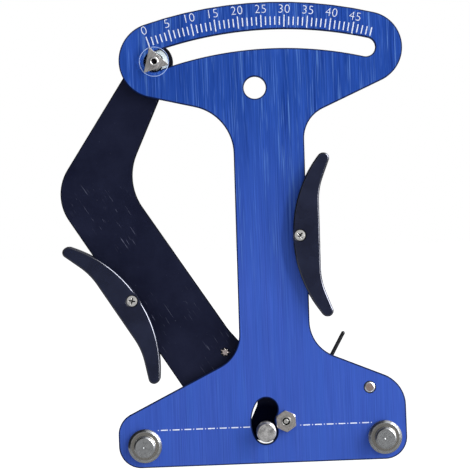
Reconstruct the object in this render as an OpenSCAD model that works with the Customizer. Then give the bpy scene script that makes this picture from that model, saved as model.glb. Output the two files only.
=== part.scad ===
// Spoke tension meter. A flat body plate carries a dial head, two fixed posts and a grip. An arm
// behind it turns on the pivot bolt, and carries the other grip, the pointer and the moving post.
// A torsion spring round the pivot drives the arm back to zero, against an adjusting screw.
//
// The pieces are drawn in the plane of the plates: x to the right, y up, and z towards the eye,
// from the middle of the body plate, with the middle of the line between the fixed posts as the
// zero point. hang() then stands the tool up, front towards -Y, from its hanging hole.

/* [Body plate] */
// Thickness of the body plate
body_t = 4; // [3:0.5:6]
// Distance between the fixed posts
post_span = 108; // [104:1:112]
// From the left post to the left end of the foot
foot_left = 11.8; // [10:0.2:14]
// From the right post to the right end of the foot
foot_right = 10; // [9:0.2:13]
// From the post line to the lower edge
foot_drop = 10; // [9:0.2:14]
// Height of the foot's left end above the post line, before rounding
foot_left_h = 11.4; // [8:0.2:14]
// Height of the foot's right end above the post line, before rounding
foot_right_h = 24; // [18:0.5:27]
// Width of the waist
waist_w = 31.9; // [29:0.1:36]
// How far right of the posts' middle the waist stands at the foot
waist_x = 6; // [4:0.5:8]
// How far right the waist leans on its way up to the head
waist_lean = 0.9; // [0:0.1:2]
// Height above the post line at which the foot's left edge meets the waist
foot_top_left = 38.7; // [35:0.5:42]
// Height above the post line at which the foot's right edge meets the waist
foot_top_right = 41.8; // [38:0.5:45]
// Height above the post line at which the head's left edge meets the waist
web_left = 147.5; // [144:0.5:150]
// Height above the post line at which the head's right edge meets the waist
web_right = 145; // [141:0.5:147]
// From the middle of the dial slot to the head's outer edge
head_margin = 16.6; // [15:0.2:18]
// How far left of the pivot the middle of the head's outer edge lies
head_shift = 2.25; // [0:0.25:4]
// Radius of the head's left end
head_left_r = 17; // [15:0.2:18]
// Radius of the head's right end
head_right_r = 16.2; // [15:0.2:17]
// Degrees by which the head's left end lies right of the slot's
head_lag_left = 1.1; // [0:0.1:2]
// Degrees by which the head's right end lies right of the slot's
head_lag_right = 0.8; // [0:0.1:2]
// Radius of the hanging hole
hang_r = 5; // [3:0.5:6]
// From the middle of the dial slot down to the hanging hole
hang_drop = 21.5; // [19:0.5:26]
// Degrees that the hanging hole lies left of the upright through the pivot
hang_lean = 3.2; // [1:0.1:5]

/* [Spoke line] */
// Height of the printed spoke line above the post line
spoke_y = 6.7; // [6:0.1:7.5]
// From a post to the line's end
spoke_line_gap = 6.2; // [5:0.1:9]
// From one dot of the line to the next
dash_pitch = 5.3; // [4:0.1:7]
// Length of a dash
dash_len = 3.1; // [1.5:0.1:3.4]
// From the pivot to the line's right part
dash_restart = 6.5; // [6:0.1:9]

/* [Pivot and dial] */
// Pivot's distance right of the posts' middle
pivot_x = 9.8; // [8:0.2:12]
// Pivot's height above the post line
pivot_y = 8.8; // [8:0.2:11]
// From the pivot to the middle of the dial slot
dial_r = 172.2; // [169:0.2:175]
// Width of the dial slot
dial_slot_w = 8.6; // [8.4:0.2:10]
// Pointer's angle left of the upright at zero
dial_start = 18; // [16:0.5:20]
// Travel of the pointer in degrees
dial_sweep = 32.2; // [30:0.2:34]
// Degrees from one mark of the scale to the next
mark_pitch = 0.66; // [0.6:0.01:0.68]
// Number of steps on the scale
mark_steps = 49; // [40:1:49]
// Middle of the scale beyond the middle of the slot
mark_offset = 8.1; // [7.4:0.1:9]
// How far left of the pivot the middle of the scale's arc lies
mark_shift = 3.5; // [0:0.5:4]
// Degrees by which the scale's first mark lies right of the slot's left end
mark_lag = 1.2; // [0:0.1:2]
// Length of every fifth mark
mark_major = 5.4; // [4.5:0.1:6]
// Length of the marks between
mark_minor = 3.8; // [2.5:0.1:4.2]
// Width of a printed line
mark_w = 0.5; // [0.3:0.05:0.7]
// Diameter of the pivot bolt
bolt_d = 5; // [4:0.5:5]
// Width across the flats of the pivot nut and bolt head
bolt_af = 8.6; // [7.5:0.1:8.8]
// Thickness of the pivot nut
nut_h = 2.7; // [2.2:0.1:4]
// Degrees by which the pivot nut is turned
nut_turn = 34; // [0:1:59]
// Thickness of the bolt's head behind the spring
bolt_head_h = 3.5; // [2.5:0.5:5]
// Outer diameter of the sleeve that the arm turns on
sleeve_d = 6.6; // [6.4:0.1:6.8]
// Outer diameter of the collar between the body plate and the arm
collar_d = 10; // [9:0.2:10.4]
// Outer diameter of the washer between the arm and the spring
thrust_d = 12; // [10:0.2:12.4]
// Thickness of that washer
thrust_t = 0.5; // [0.3:0.1:1]
// Outer diameter of the washer that holds the spring on
rear_d = 14; // [12:0.5:16]
// Thickness of that washer
rear_t = 1; // [0.5:0.1:2]

/* [Arm] */
// Thickness of the arm
arm_t = 3; // [2:0.5:4]
// Gap between the body plate and the arm
arm_gap = 0.6; // [0.4:0.1:1]
// Radius of the arm's tip
arm_tip_r = 8.4; // [7:0.2:10]
// Radius of the arm round the pivot
arm_hub_r = 8.5; // [7.5:0.1:9]
// How far left of the pivot the arm's elbow reaches, before rounding
elbow_x = 101.9; // [98:0.1:105]
// Height of the arm's elbow above the pivot
elbow_y = 105.4; // [102:0.2:109]
// Width of the arm across the elbow
elbow_w = 33.4; // [30:0.1:36]
// Diameter of the stem that rivets the moving post to the arm
rivet_d = 5; // [4:0.5:5.5]
// Height of the rivet's head behind the arm
rivet_head_h = 0.5; // [0.3:0.1:0.6]
// Diameter of the spring pin's stem through the arm
pin_stem_d = 3; // [2:0.5:3.5]

/* [Posts] */
// Diameter of a fixed post's shaft
post_d = 9.4; // [8:0.2:10]
// Diameter of a fixed post's flange
flange_d = 15.2; // [13:0.2:17]
// Thickness of a fixed post's flange
flange_t = 3; // [2:0.5:4]
// Bevel round the face of a fixed post's flange
flange_bevel = 1.1; // [0.5:0.1:1.8]
// Height of every post over the front of the body plate
post_h = 10; // [8:0.5:14]
// Diameter of the moving post
moving_d = 8.8; // [8:0.2:9.2]
// From the pivot to the moving post
moving_r = 10; // [9.6:0.1:10.4]
// Angle of the moving post from +x at zero
moving_angle = 204.8; // [200:0.5:207]
// Room round the moving post in its slot
moving_room = 0.8; // [0.5:0.05:1]
// How far the slot's middle lies outside the moving post's path
slot_shift = 0.4; // [0.2:0.05:0.5]
// Width of the groove that the spoke lies in
groove_w = 3.5; // [2:0.1:4]
// Depth of that groove
groove_depth = 1; // [0.5:0.1:1.3]
// Diameter of the screw that holds a fixed post
post_screw_d = 5; // [4:0.5:6]
// Diameter of that screw's head
post_screw_head_d = 9; // [8:0.5:10]
// Thickness of that screw's head
post_screw_head_h = 3; // [2:0.5:4]

/* [Spring] */
// Wire diameter of the torsion spring
wire_d = 1.8; // [1.4:0.1:1.9]
// Mean radius of its coil
coil_r = 5; // [4.9:0.1:5.6]
// Whole turns of the coil
coil_turns = 3; // [2:1:4]
// Free gap between two turns of the coil
coil_gap = 0.6; // [0.5:0.1:1]
// Direction of the leg that bears on the adjusting screw
leg_angle = 60.5; // [59:0.5:63]
// Length of that leg
leg_len = 47.7; // [40:0.1:50]
// From the pivot to the pin that holds the other leg
pin_reach = 41.2; // [38:0.2:44]
// Direction of that pin from the pivot
pin_angle = 129.6; // [127:0.2:132]
// Diameter of that pin behind the arm
arm_pin_d = 4; // [3:0.5:5]

/* [Adjuster] */
// Adjuster's distance right of the posts' middle
adjust_x = 48; // [45:0.5:50]
// Adjuster's height above the post line
adjust_y = 22.6; // [20:0.2:24]
// Diameter of its stem through the body plate
stem_d = 5.2; // [4:0.2:6]
// Diameter of its barrel behind the body plate
barrel_d = 8; // [7:0.5:10]
// Diameter of the adjusting screw
adjust_d = 3; // [2.5:0.5:3]
// Length of the adjusting screw behind the barrel's middle
adjust_tail = 9; // [7:0.5:12]
// Width across the flats of its lock nut
lock_nut_af = 5.5; // [5:0.1:6]
// Thickness of its lock nut
lock_nut_h = 2.4; // [1.8:0.2:3]

/* [Grips] */
// Length of a grip
grip_len = 73.6; // [68:0.2:78]
// Width of a grip at its screw
grip_w = 12.1; // [11:0.1:14]
// Height of a grip over the face of its plate
grip_h = 5.5; // [4.5:0.5:8]
// Radius of a grip's inner edge
grip_in_r = 58; // [57:0.2:66]
// Length of the straight middle of a grip's outer edge
grip_flat = 41; // [36:0.5:44]
// Width of a grip across its ends
grip_tip_w = 5.3; // [5.2:0.1:5.8]
// Height of the right grip's screw above the post line
right_grip_y = 92.1; // [88:0.5:96]
// From the elbow along the arm's edge to the left grip's screw
left_grip_s = 59.8; // [57:0.2:63]
// From a grip's inner edge, and a plate's edge, to the screw
grip_inset = 3.2; // [3:0.1:3.6]
// Diameter of a grip screw
grip_screw_d = 3; // [2.5:0.5:3]
// Diameter of its head
grip_head_d = 5.1; // [4.5:0.1:5.3]
// Thickness of its head
grip_head_h = 2; // [1.4:0.1:2.2]
// Width across the flats of its nut
grip_nut_af = 5.5; // [5:0.1:5.6]
// Thickness of its nut
grip_nut_h = 2.4; // [1.8:0.2:2.4]

/* [Pointer] */
// Diameter of the clear disc
lens_d = 13.4; // [12:0.2:15]
// Thickness of the clear disc
lens_t = 1.2; // [0.8:0.2:2]
// From the pointer's middle to its tips
pointer_r = 6.9; // [5.5:0.1:7]
// Degrees by which the pointer is turned from the line to the pivot
pointer_turn = -2; // [-4:0.5:4]
// Thickness of the pointer
pointer_t = 0.8; // [0.5:0.1:1.5]
// Diameter of the spacer in the dial slot
spacer_d = 7.6; // [7:0.1:7.8]
// Gap between the clear disc and the body plate
lens_gap = 0.4; // [0.4:0.1:0.8]
// Diameter of the pointer's screw
pointer_screw_d = 3; // [2:0.5:3]
// Diameter of its head
pointer_head_d = 4.2; // [4:0.1:5]
// Thickness of its head
pointer_head_h = 1.6; // [1.2:0.1:2]

/* [Hidden] */
$fn = 96;
arc_step = 6;            // degrees from point to point on a rounded corner

// Heights of the layers, from the middle of the body plate towards the eye
body_front = body_t / 2;
body_back = -body_t / 2;
arm_front = body_back - arm_gap;
arm_back = arm_front - arm_t;
ink_t = 0.1;             // thickness of the printed marks
run = 0.05;              // radial clearance of a shaft that turns in its hole
fit = 0.05;              // radial clearance of a screw or pin in its hole
face_run = 0.1;          // gap between faces that slide past each other
through = 1;             // a cut's length beyond the faces that it goes through
stand = 0.3;             // how far a bolt, stem or pin stands out of its seat
edge = 0.5;              // chamfer on a turned piece

// Places in the plane of the plates
pivot = [pivot_x, pivot_y];
dial_left = pivot + polar(dial_r, 90 + dial_start);
dial_right = pivot + polar(dial_r, 90 + dial_start - dial_sweep);
moving_at = pivot + polar(moving_r, moving_angle);
left_at = [-post_span / 2, 0];
right_at = [post_span / 2, 0];
adjust_at = [adjust_x, adjust_y];
pin_at = pivot + polar(pin_reach, pin_angle);
hang_at = pivot + polar(dial_r - hang_drop, 90 + hang_lean);

// Corners of the body plate, as [x, y, radius]
waist_foot = waist_x - waist_w / 2;
waist_head = waist_foot + waist_lean;
foot_r = 10;             // rounding of the foot's lower corners
foot_right_r = 15;       // rounding of the foot's upper right corner
fillet_head_left = 22;   // roundings where the waist meets the head and the foot
fillet_head_right = 15;
fillet_foot_left = 16;
fillet_foot_right = 17;
head_r = dial_r + head_margin;
head_mid = pivot - [head_shift, 0];
head_left = head_mid + polar(head_r - head_left_r, 90 + dial_start - head_lag_left);
head_right = head_mid
    + polar(head_r - head_right_r, 90 + dial_start - dial_sweep - head_lag_right);
head_left_corner = [waist_head, web_left];
head_right_corner = [waist_head + waist_w, web_right];
foot_right_corner = [waist_foot + waist_w, foot_top_right];

// Corners of the arm
elbow = pivot + [-elbow_x, elbow_y];
elbow_r = 21;
arm_inside = elbow + [elbow_w, 4.8];
arm_inside_r = 25;
arm_heel = pivot + [-42.8, 11.8];
arm_heel_r = 8;
arm_notch = pivot + [-9.5, 14.2];
arm_notch_r = 5;
arm_toe = pivot + [-19.5, -7.6];
arm_toe_r = 6;
finger_rim = 0.45;       // arm's rim round the moving post
arm_bend = pivot + [-24.3, 41.8];
arm_bend_r = 20;

// Slot that the moving post travels in
kidney_r = moving_r + slot_shift;
kidney_w = moving_d + 2 * moving_room;
kidney_low = moving_angle + 2.7;
kidney_high = moving_angle - dial_sweep - 25;

// Spring's place along the pivot, between the thrust washer and the rear washer
spring_room = 0.3;
coil_pitch = wire_d + coil_gap;
thrust_back = arm_back - face_run - thrust_t;
leg_z = thrust_back - spring_room - wire_d / 2;

// Torsion spring
wire_sides = 6;
rings_per_turn = 8;
spring_seat = 0.15;      // between a leg and what it bears on
lean = asin((coil_r + arm_pin_d / 2 + wire_d / 2 + spring_seat) / pin_reach);
arm_leg_angle = pin_angle - lean;
arm_leg_len = 46;
start_angle = arm_leg_angle + 90 - 360;
end_angle = leg_angle - 90;
wind = end_angle - start_angle + 360 * (coil_turns - (end_angle > start_angle ? 0 : -1));
coil_rise = coil_pitch * wind / 360;
arm_leg_z = leg_z - coil_rise;
sleeve_back = arm_leg_z - wire_d / 2 - spring_room;

// Adjuster: the screw stands square to the leg and its end bears on it
leg_dir = polar(1, leg_angle);
leg_side = polar(1, leg_angle - 90);
leg_foot = pivot + coil_r * leg_side;
adjust_gap = (adjust_at - leg_foot) * leg_side - wire_d / 2 - spring_seat;
adjust_cover = adjust_d / 2 + 1.7;
adjust_socket = [1.5, 1.5];

// Fixings, with hexagon sockets as [across flats, depth]
post_screw_socket = [3, 1.8];
pointer_socket = [2, 1.2];
groove_low = body_front + flange_t + stand;
post_cap = 2.5;          // solid end of a fixed post beyond its screw hole
grip_skin = 1.2;         // drawn-in outer layer of a grip
grip_tip_r = 2.5;        // rounding of a grip's ends in outline
grip_bend_r = 30;        // rounding where its outer edge turns outwards
grip_seat = 0.4;         // screw head below the grip's face
head_room = 0.35;        // round a grip screw's head
cross = [3, 0.6, 0.9];   // length, width and depth of a cross recess
pointer_tip_r = 0.3;

BLUE = [0.15, 0.3, 0.68];
BLACK = [0.09, 0.1, 0.16];
STEEL = [0.62, 0.6, 0.58];
WHITE = [0.92, 0.94, 0.98];
CLEAR = [0.9, 0.93, 0.95, 0.4];

// ---- shapes in the plane ----

function polar(r, a) = r * [cos(a), sin(a)];
function unit(v) = v / norm(v);
function xy(p) = [p[0], p[1]];
// Shortest turn from one angle to another
function turn(from, to) = let (d = (to - from) % 360) d > 180 ? d - 360 : d < -180 ? d + 360 : d;
// Points of an arc round c, from angle a0 to a1
function arc(c, r, a0, a1) =
    let (n = ceil(abs(a1 - a0) / arc_step))
    [for (i = [0:n]) c + polar(r, a0 + (a1 - a0) * i / n)];
// One corner b between a and c, rounded with radius r by the arc that touches both edges
function corner(a, b, c, r) =
    r == 0 ? [b] :
    let (u = unit(a - b), v = unit(c - b), half = acos(u * v) / 2)
    let (o = b + unit(u + v) * r / sin(half), reach = r / tan(half))
    let (p = b + u * reach - o, q = b + v * reach - o)
    let (a0 = atan2(p[1], p[0]))
    arc(o, r, a0, a0 + turn(a0, atan2(q[1], q[0])));
// Closed outline through corners given as [x, y, radius]
function rounded(pts) =
    let (n = len(pts))
    [for (i = [0:n - 1])
        each corner(xy(pts[(i + n - 1) % n]), xy(pts[i]), xy(pts[(i + 1) % n]), pts[i][2])];
// Point where a line from p touches the circle at c, on the left (+1) or the right (-1)
function touch(p, c, r, side) =
    let (d = p - c)
    c + polar(r, atan2(d[1], d[0]) + side * acos(r / norm(d)));
function heading(from, to) = atan2(to[1] - from[1], to[0] - from[0]);
function sharp(p) = [p[0], p[1], 0];
function soft(p, r) = [p[0], p[1], r];
// Corners along the circle at c, counterclockwise from the direction of p to that of q
function bow(c, r, p, q) =
    let (a0 = heading(c, p), a1 = a0 + (heading(c, q) - a0 + 720) % 360)
    [for (at = arc(c, r, a0, a1)) sharp(at)];
// Direction in which the line that touches two circles outside faces, right of the way from c to d
function facing(c, rc, d, rd) = heading(c, d) - acos((rc - rd) / norm(d - c));

// Pie slice that limits an arc slot
module slice(r, a0, a1) polygon(concat([[0, 0]], arc([0, 0], 2 * r, a0, a1)));

// Slot along an arc round the pivot, with round ends
module arc_slot(r, w, a0, a1) translate(pivot) {
    intersection() {
        difference() {
            circle(r + w / 2);
            circle(r - w / 2);
        }
        slice(r, a0, a1);
    }
    for (a = [a0, a1]) translate(polar(r, a)) circle(d = w);
}

module body_outline() {
    left_touch = touch(head_left_corner, head_left, head_left_r, -1);
    right_touch = touch(head_right_corner, head_right, head_right_r, 1);
    polygon(rounded(concat(
        [soft(head_left_corner, fillet_head_left),
            [waist_foot, foot_top_left, fillet_foot_left],
            [left_at[0] - foot_left, foot_left_h, foot_r],
            [left_at[0] - foot_left, -foot_drop, foot_r],
            [right_at[0] + foot_right, -foot_drop, foot_r],
            [right_at[0] + foot_right, foot_right_h, foot_right_r],
            soft(foot_right_corner, fillet_foot_right),
            soft(head_right_corner, fillet_head_right)],
        bow(head_right, head_right_r, right_touch, 2 * head_right - head_mid),
        bow(head_mid, head_r, head_right, head_left),
        bow(head_left, head_left_r, 2 * head_left - head_mid, left_touch))));
}

module arm_outline() {
    finger_r = moving_d / 2 + finger_rim;
    under = polar(1, facing(moving_at, finger_r, pivot, arm_hub_r));
    polygon(rounded(concat(
        [soft(elbow, elbow_r), soft(arm_heel, arm_heel_r),
            soft(arm_notch, arm_notch_r), soft(arm_toe, arm_toe_r)],
        bow(moving_at, finger_r, touch(arm_toe, moving_at, finger_r, 1), moving_at + under),
        bow(pivot, arm_hub_r, pivot + under, touch(arm_bend, pivot, arm_hub_r, -1)),
        [soft(arm_bend, arm_bend_r), soft(arm_inside, arm_inside_r)],
        bow(dial_left, arm_tip_r, touch(arm_inside, dial_left, arm_tip_r, 1),
            touch(elbow, dial_left, arm_tip_r, -1)))));
}

// Outline of a grip, with its screw at the zero point and its hollow side towards +x: the inner
// edge is an arc, and the outer one is straight and turns out towards both ends
module grip_outline(inset = 0) {
    middle = [grip_in_r - grip_inset, 0];
    outer = grip_w - grip_inset;
    end = grip_len / 2;
    last = end - grip_tip_r;
    foot = [middle[0] - sqrt(grip_in_r * grip_in_r - last * last), last];
    tip = foot[0] + grip_tip_r * last / (middle[0] - foot[0]);
    offset(delta = -inset) polygon(rounded(concat(
        [[tip + grip_tip_w, -end, grip_tip_r],
            [outer, -grip_flat / 2, grip_bend_r],
            [outer, grip_flat / 2, grip_bend_r],
            [tip + grip_tip_w, end, grip_tip_r],
            [tip, end, grip_tip_r]],
        bow(middle, grip_in_r, foot, [foot[0], -last]),
        [[tip, -end, grip_tip_r]])));
}

// ---- placing ----

// Stands the drawn tool up, with its hanging hole on the zero point and its front towards -Y
module hang() translate([-hang_at[0], 0, -hang_at[1]]) rotate([90, 0, 0]) children();
// Slab of a drawn outline between two heights
module slab(low, high) translate([0, 0, low]) linear_extrude(high - low) children();
// Round piece at a place in the plane, between two heights
module rod(at, d, low, high) translate([at[0], at[1], low]) cylinder(d = d, h = high - low);
// Round piece with its high end bevelled over a length c
module topped_rod(at, d, low, high, c) translate(at) rotate_extrude()
    polygon([[0, low], [d / 2, low], [d / 2, high - c], [d / 2 - c, high], [0, high]]);
module hex(at, af, low, high, spin = 0)
    translate([at[0], at[1], low]) rotate(spin) cylinder(d = af / cos(30), h = high - low, $fn = 6);

// Grips: the right one stands on the waist's edge, the left one on the arm's outer edge
right_grip_turn = heading([waist_foot, foot_top_right], [waist_head, web_right]) - 90;
right_grip_at = [waist_foot + waist_w + waist_lean * (right_grip_y - foot_top_right)
    / (web_right - foot_top_right) - grip_inset, right_grip_y];
arm_edge = unit(arm_heel - elbow);
left_grip_turn = heading(elbow, arm_heel) - 90;
left_grip_at = elbow + arm_edge * left_grip_s + [-arm_edge[1], arm_edge[0]] * grip_inset;

module place_right() translate(right_grip_at) rotate(right_grip_turn) children();
module place_left() translate(left_grip_at) rotate(left_grip_turn) children();

// Front or rear half of a grip, from its plate's middle outwards; thickness is the plate's
module grip_half(thickness, front) {
    outer = thickness / 2 + grip_h;
    mirror([0, 0, front ? 0 : 1]) {
        slab(0, outer - grip_skin) grip_outline();
        slab(outer - grip_skin, outer) grip_outline(grip_skin / 2);
    }
}
module grip_bores(thickness, front) {
    outer = thickness / 2 + grip_h;
    rod([0, 0], grip_screw_d + 2 * fit, -outer - through, outer + through);
    if (front) rod([0, 0], grip_head_d + 2 * head_room, outer - grip_seat - grip_head_h, outer + through);
    else hex([0, 0], grip_nut_af + 2 * fit, -outer - through, -outer + grip_seat + grip_nut_h);
}
module grip_screw(thickness) {
    outer = thickness / 2 + grip_h;
    top = outer - grip_seat;
    difference() {
        union() {
            rod([0, 0], grip_screw_d, -outer + grip_seat, top - grip_head_h / 2);
            topped_rod([0, 0], grip_head_d, top - grip_head_h, top, edge);
        }
        for (a = [45, 135]) rotate(a)
            slab(top - cross[2], top + through) square([cross[0], cross[1]], center = true);
    }
}
module grip_nut(thickness) {
    outer = thickness / 2 + grip_h;
    difference() {
        hex([0, 0], grip_nut_af, -outer + grip_seat, -outer + grip_seat + grip_nut_h);
        rod([0, 0], grip_screw_d + 2 * fit, -outer, 0);
    }
}

// ---- body plate and its marks ----

module body_plate() color(BLUE) hang() difference() {
    slab(body_back, body_front) body_outline();
    slab(body_back - through, body_front + through)
        arc_slot(dial_r, dial_slot_w, 90 + dial_start - dial_sweep, 90 + dial_start);
    slab(body_back - through, body_front + through)
        arc_slot(kidney_r, kidney_w, kidney_high, kidney_low);
    rod(hang_at, 2 * hang_r, body_back - through, body_front + through);
    rod(pivot, bolt_d + 2 * fit, body_back - through, body_front + through);
    for (at = [left_at, right_at])
        rod(at, post_screw_d + 2 * fit, body_back - through, body_front + through);
    rod(adjust_at, stem_d + 2 * fit, body_back - through, body_front + through);
    rod(right_grip_at, grip_screw_d + 2 * fit, body_back - through, body_front + through);
}

// Printed scale: a mark for each step, and every fifth one longer
module scale_marks() color(WHITE) hang() slab(body_front, body_front + ink_t)
    for (i = [0:mark_steps]) translate(pivot - [mark_shift, 0])
        rotate(90 + dial_start - mark_lag - i * mark_pitch)
            translate([dial_r + mark_offset, 0])
                square([i % 5 == 0 ? mark_major : mark_minor, mark_w], center = true);

// Dots and dashes by turns, from a dot at one x to where the last dash has to end
module dash_run(from, to) for (x = [from:dash_pitch:to]) {
    translate([x, spoke_y]) circle(d = mark_w, $fn = 24);
    if (x + (dash_pitch + dash_len) / 2 <= to)
        translate([x + dash_pitch / 2, spoke_y]) square([dash_len, mark_w], center = true);
}
// Printed line where the spoke lies, broken at the moving post's slot and at the nut
module spoke_line() color(WHITE) hang() slab(body_front, body_front + ink_t) {
    dash_run(left_at[0] + spoke_line_gap, pivot_x - kidney_r - kidney_w / 2 - edge);
    dash_run(pivot_x + dash_restart, right_at[0] - spoke_line_gap + mark_w);
}

// ---- arm ----

module arm_plate() color(BLACK) hang() difference() {
    slab(arm_back, arm_front) arm_outline();
    rod(pivot, sleeve_d + 2 * run, arm_back - through, arm_front + through);
    rod(moving_at, rivet_d + 2 * fit, arm_back - through, arm_front + through);
    rod(pin_at, pin_stem_d + 2 * fit, arm_back - through, arm_front + through);
    rod(dial_left, pointer_screw_d + 2 * fit, arm_back - through, arm_front + through);
    rod(left_grip_at, grip_screw_d + 2 * fit, arm_back - through, arm_front + through);
}

// Post that presses on the spoke: a shaft through the body's slot, with a groove for the spoke
module moving_post() color(STEEL) hang() {
    top = body_front + post_h;
    rod(moving_at, moving_d, arm_front, groove_low);
    rod(moving_at, moving_d - 2 * groove_depth, body_back, top - 2 * edge);
    topped_rod(moving_at, moving_d, groove_low + groove_w, top, edge);
    rod(moving_at, rivet_d, arm_back - rivet_head_h / 2, body_back);
    rod(moving_at, rivet_d + 3 * edge, arm_back - rivet_head_h, arm_back);
}

// Pin that the spring's arm leg bears on, staked into the arm
module arm_spring_pin() color(STEEL) hang() {
    rod(pin_at, pin_stem_d, arm_leg_z, arm_front + stand / 2);
    rod(pin_at, arm_pin_d, arm_leg_z - wire_d, arm_back);
}

// ---- pivot ----

module pivot_bolt() color(STEEL) hang() {
    head = sleeve_back - rear_t;
    hex(pivot, bolt_af, head - bolt_head_h, head);
    topped_rod(pivot, bolt_d, head - bolt_head_h / 2, body_front + nut_h + stand, stand);
}
module pivot_nut() color(STEEL) hang() difference() {
    hex(pivot, bolt_af, body_front, body_front + nut_h, nut_turn);
    rod(pivot, bolt_d + 2 * fit, body_front - through, body_front + nut_h + through);
}
module ring_on_pivot(outer, inner, low, high) difference() {
    rod(pivot, outer, low, high);
    rod(pivot, inner, low - through, high + through);
}
// Sleeve clamped between the body plate and the rear washer, which the arm turns on
module pivot_sleeve() color(STEEL) hang()
    ring_on_pivot(sleeve_d, bolt_d + 2 * fit, sleeve_back, body_back);
module front_collar() color(STEEL) hang()
    ring_on_pivot(collar_d, sleeve_d + 2 * fit, arm_front + face_run, body_back);
module thrust_washer() color(WHITE) hang()
    ring_on_pivot(thrust_d, sleeve_d + 2 * fit, thrust_back, arm_back - face_run);
module rear_washer() color(STEEL) hang()
    ring_on_pivot(rear_d, bolt_d + 2 * fit, sleeve_back - rear_t, sleeve_back);

// ---- torsion spring ----

// Middle line: in along the arm's leg, round the coil, and out along the other leg
arm_leg_dir = polar(1, arm_leg_angle);
arm_leg_foot = pivot + polar(coil_r, start_angle);
function on_coil(t) =
    let (a = start_angle + wind * t, p = pivot + polar(coil_r, a))
    [p[0], p[1], arm_leg_z + coil_rise * t];
coil_rings = ceil(rings_per_turn * wind / 360);
function lift(p, z) = [p[0], p[1], z];
spring_line = concat(
    [lift(arm_leg_foot + arm_leg_dir * arm_leg_len, arm_leg_z)],
    [for (i = [0:coil_rings]) on_coil(i / coil_rings)],
    [lift(leg_foot + leg_dir * leg_len, leg_z)]);
spring_rings = len(spring_line);
// Direction of the line at a point: along a leg at its end, else across its two neighbours
function along(i) =
    i == 0 ? unit(spring_line[1] - spring_line[0]) :
    i == spring_rings - 1 ? unit(spring_line[i] - spring_line[i - 1]) :
    unit(unit(spring_line[i + 1] - spring_line[i]) + unit(spring_line[i] - spring_line[i - 1]));
// Ring of the tube at a point, square to the line, with its first corner away from the plate
function ring(i) =
    let (t = along(i), u = unit([0, 0, 1] - t * t[2]), v = cross(t, u))
    [for (k = [0:wire_sides - 1])
        spring_line[i] + (wire_d / 2) * (u * cos(360 * k / wire_sides) + v * sin(360 * k / wire_sides))];
module torsion_spring() color(BLACK) hang() {
    n = wire_sides;
    sides = [for (i = [0:spring_rings - 2], k = [0:n - 1])
        let (a = i * n + k, b = i * n + (k + 1) % n)
        each [[a, b, b + n], [a, b + n, a + n]]];
    start = [for (k = [1:n - 2]) [0, k + 1, k]];
    last = (spring_rings - 1) * n;
    finish = [for (k = [1:n - 2]) [last, last + k, last + k + 1]];
    polyhedron(
        points = [for (i = [0:spring_rings - 1]) each ring(i)],
        faces = [for (f = concat(sides, start, finish)) [f[0], f[2], f[1]]]);
}
// Least gap of the wire to itself, from points of the coil at least half a turn apart
gap_points = [for (i = [0:coil_rings]) on_coil(i / coil_rings)];
self_gap = min([for (i = [0:coil_rings - 5], j = [i + 5:coil_rings])
    norm(gap_points[i] - gap_points[j]) - wire_d]);
echo(spring_gap_to_itself = self_gap);

// ---- adjuster ----

// Along the adjusting screw: zero at the barrel's middle, x towards the spring's leg
module on_screw() translate([adjust_at[0], adjust_at[1], leg_z]) rotate(leg_angle + 90)
    rotate([0, 90, 0]) children();
module adjuster_barrel() color(STEEL) hang() difference() {
    union() {
        topped_rod(adjust_at, stem_d, body_back - edge, body_front + stand, stand);
        rod(adjust_at, barrel_d, leg_z - adjust_cover, body_back);
    }
    on_screw() translate([0, 0, -barrel_d]) cylinder(d = adjust_d + 2 * fit, h = 2 * barrel_d);
}
module adjuster_screw() color(BLACK) hang() on_screw() difference() {
    translate([0, 0, -adjust_tail]) cylinder(d = adjust_d, h = adjust_tail + adjust_gap);
    hex([0, 0], adjust_socket[0], -adjust_tail - through, -adjust_tail + adjust_socket[1]);
}
module adjuster_lock_nut() color(STEEL) hang() on_screw() difference() {
    hex([0, 0], lock_nut_af, barrel_d / 2, barrel_d / 2 + lock_nut_h);
    cylinder(d = adjust_d + 2 * fit, h = barrel_d);
}

// ---- fixed posts ----

module fixed_post(at) difference() {
    union() {
        topped_rod(at, flange_d, body_front, body_front + flange_t, flange_bevel);
        topped_rod(at, post_d, body_front + flange_t / 2, body_front + post_h, edge);
    }
    rod(at, post_screw_d + 2 * fit, body_front - through, body_front + post_h - post_cap);
}
module left_post() color(STEEL) hang() fixed_post(left_at);
module right_post() color(STEEL) hang() fixed_post(right_at);

// Screw from behind, with a hexagon socket in its head
module post_screw(at) difference() {
    union() {
        rod(at, post_screw_d, body_back - edge, body_front + post_h - post_cap - edge);
        rod(at, post_screw_head_d, body_back - post_screw_head_h, body_back);
    }
    low = body_back - post_screw_head_h;
    hex(at, post_screw_socket[0], low - through, low + post_screw_socket[1]);
}
module left_post_screw() color(STEEL) hang() post_screw(left_at);
module right_post_screw() color(STEEL) hang() post_screw(right_at);

// ---- pointer ----

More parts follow.
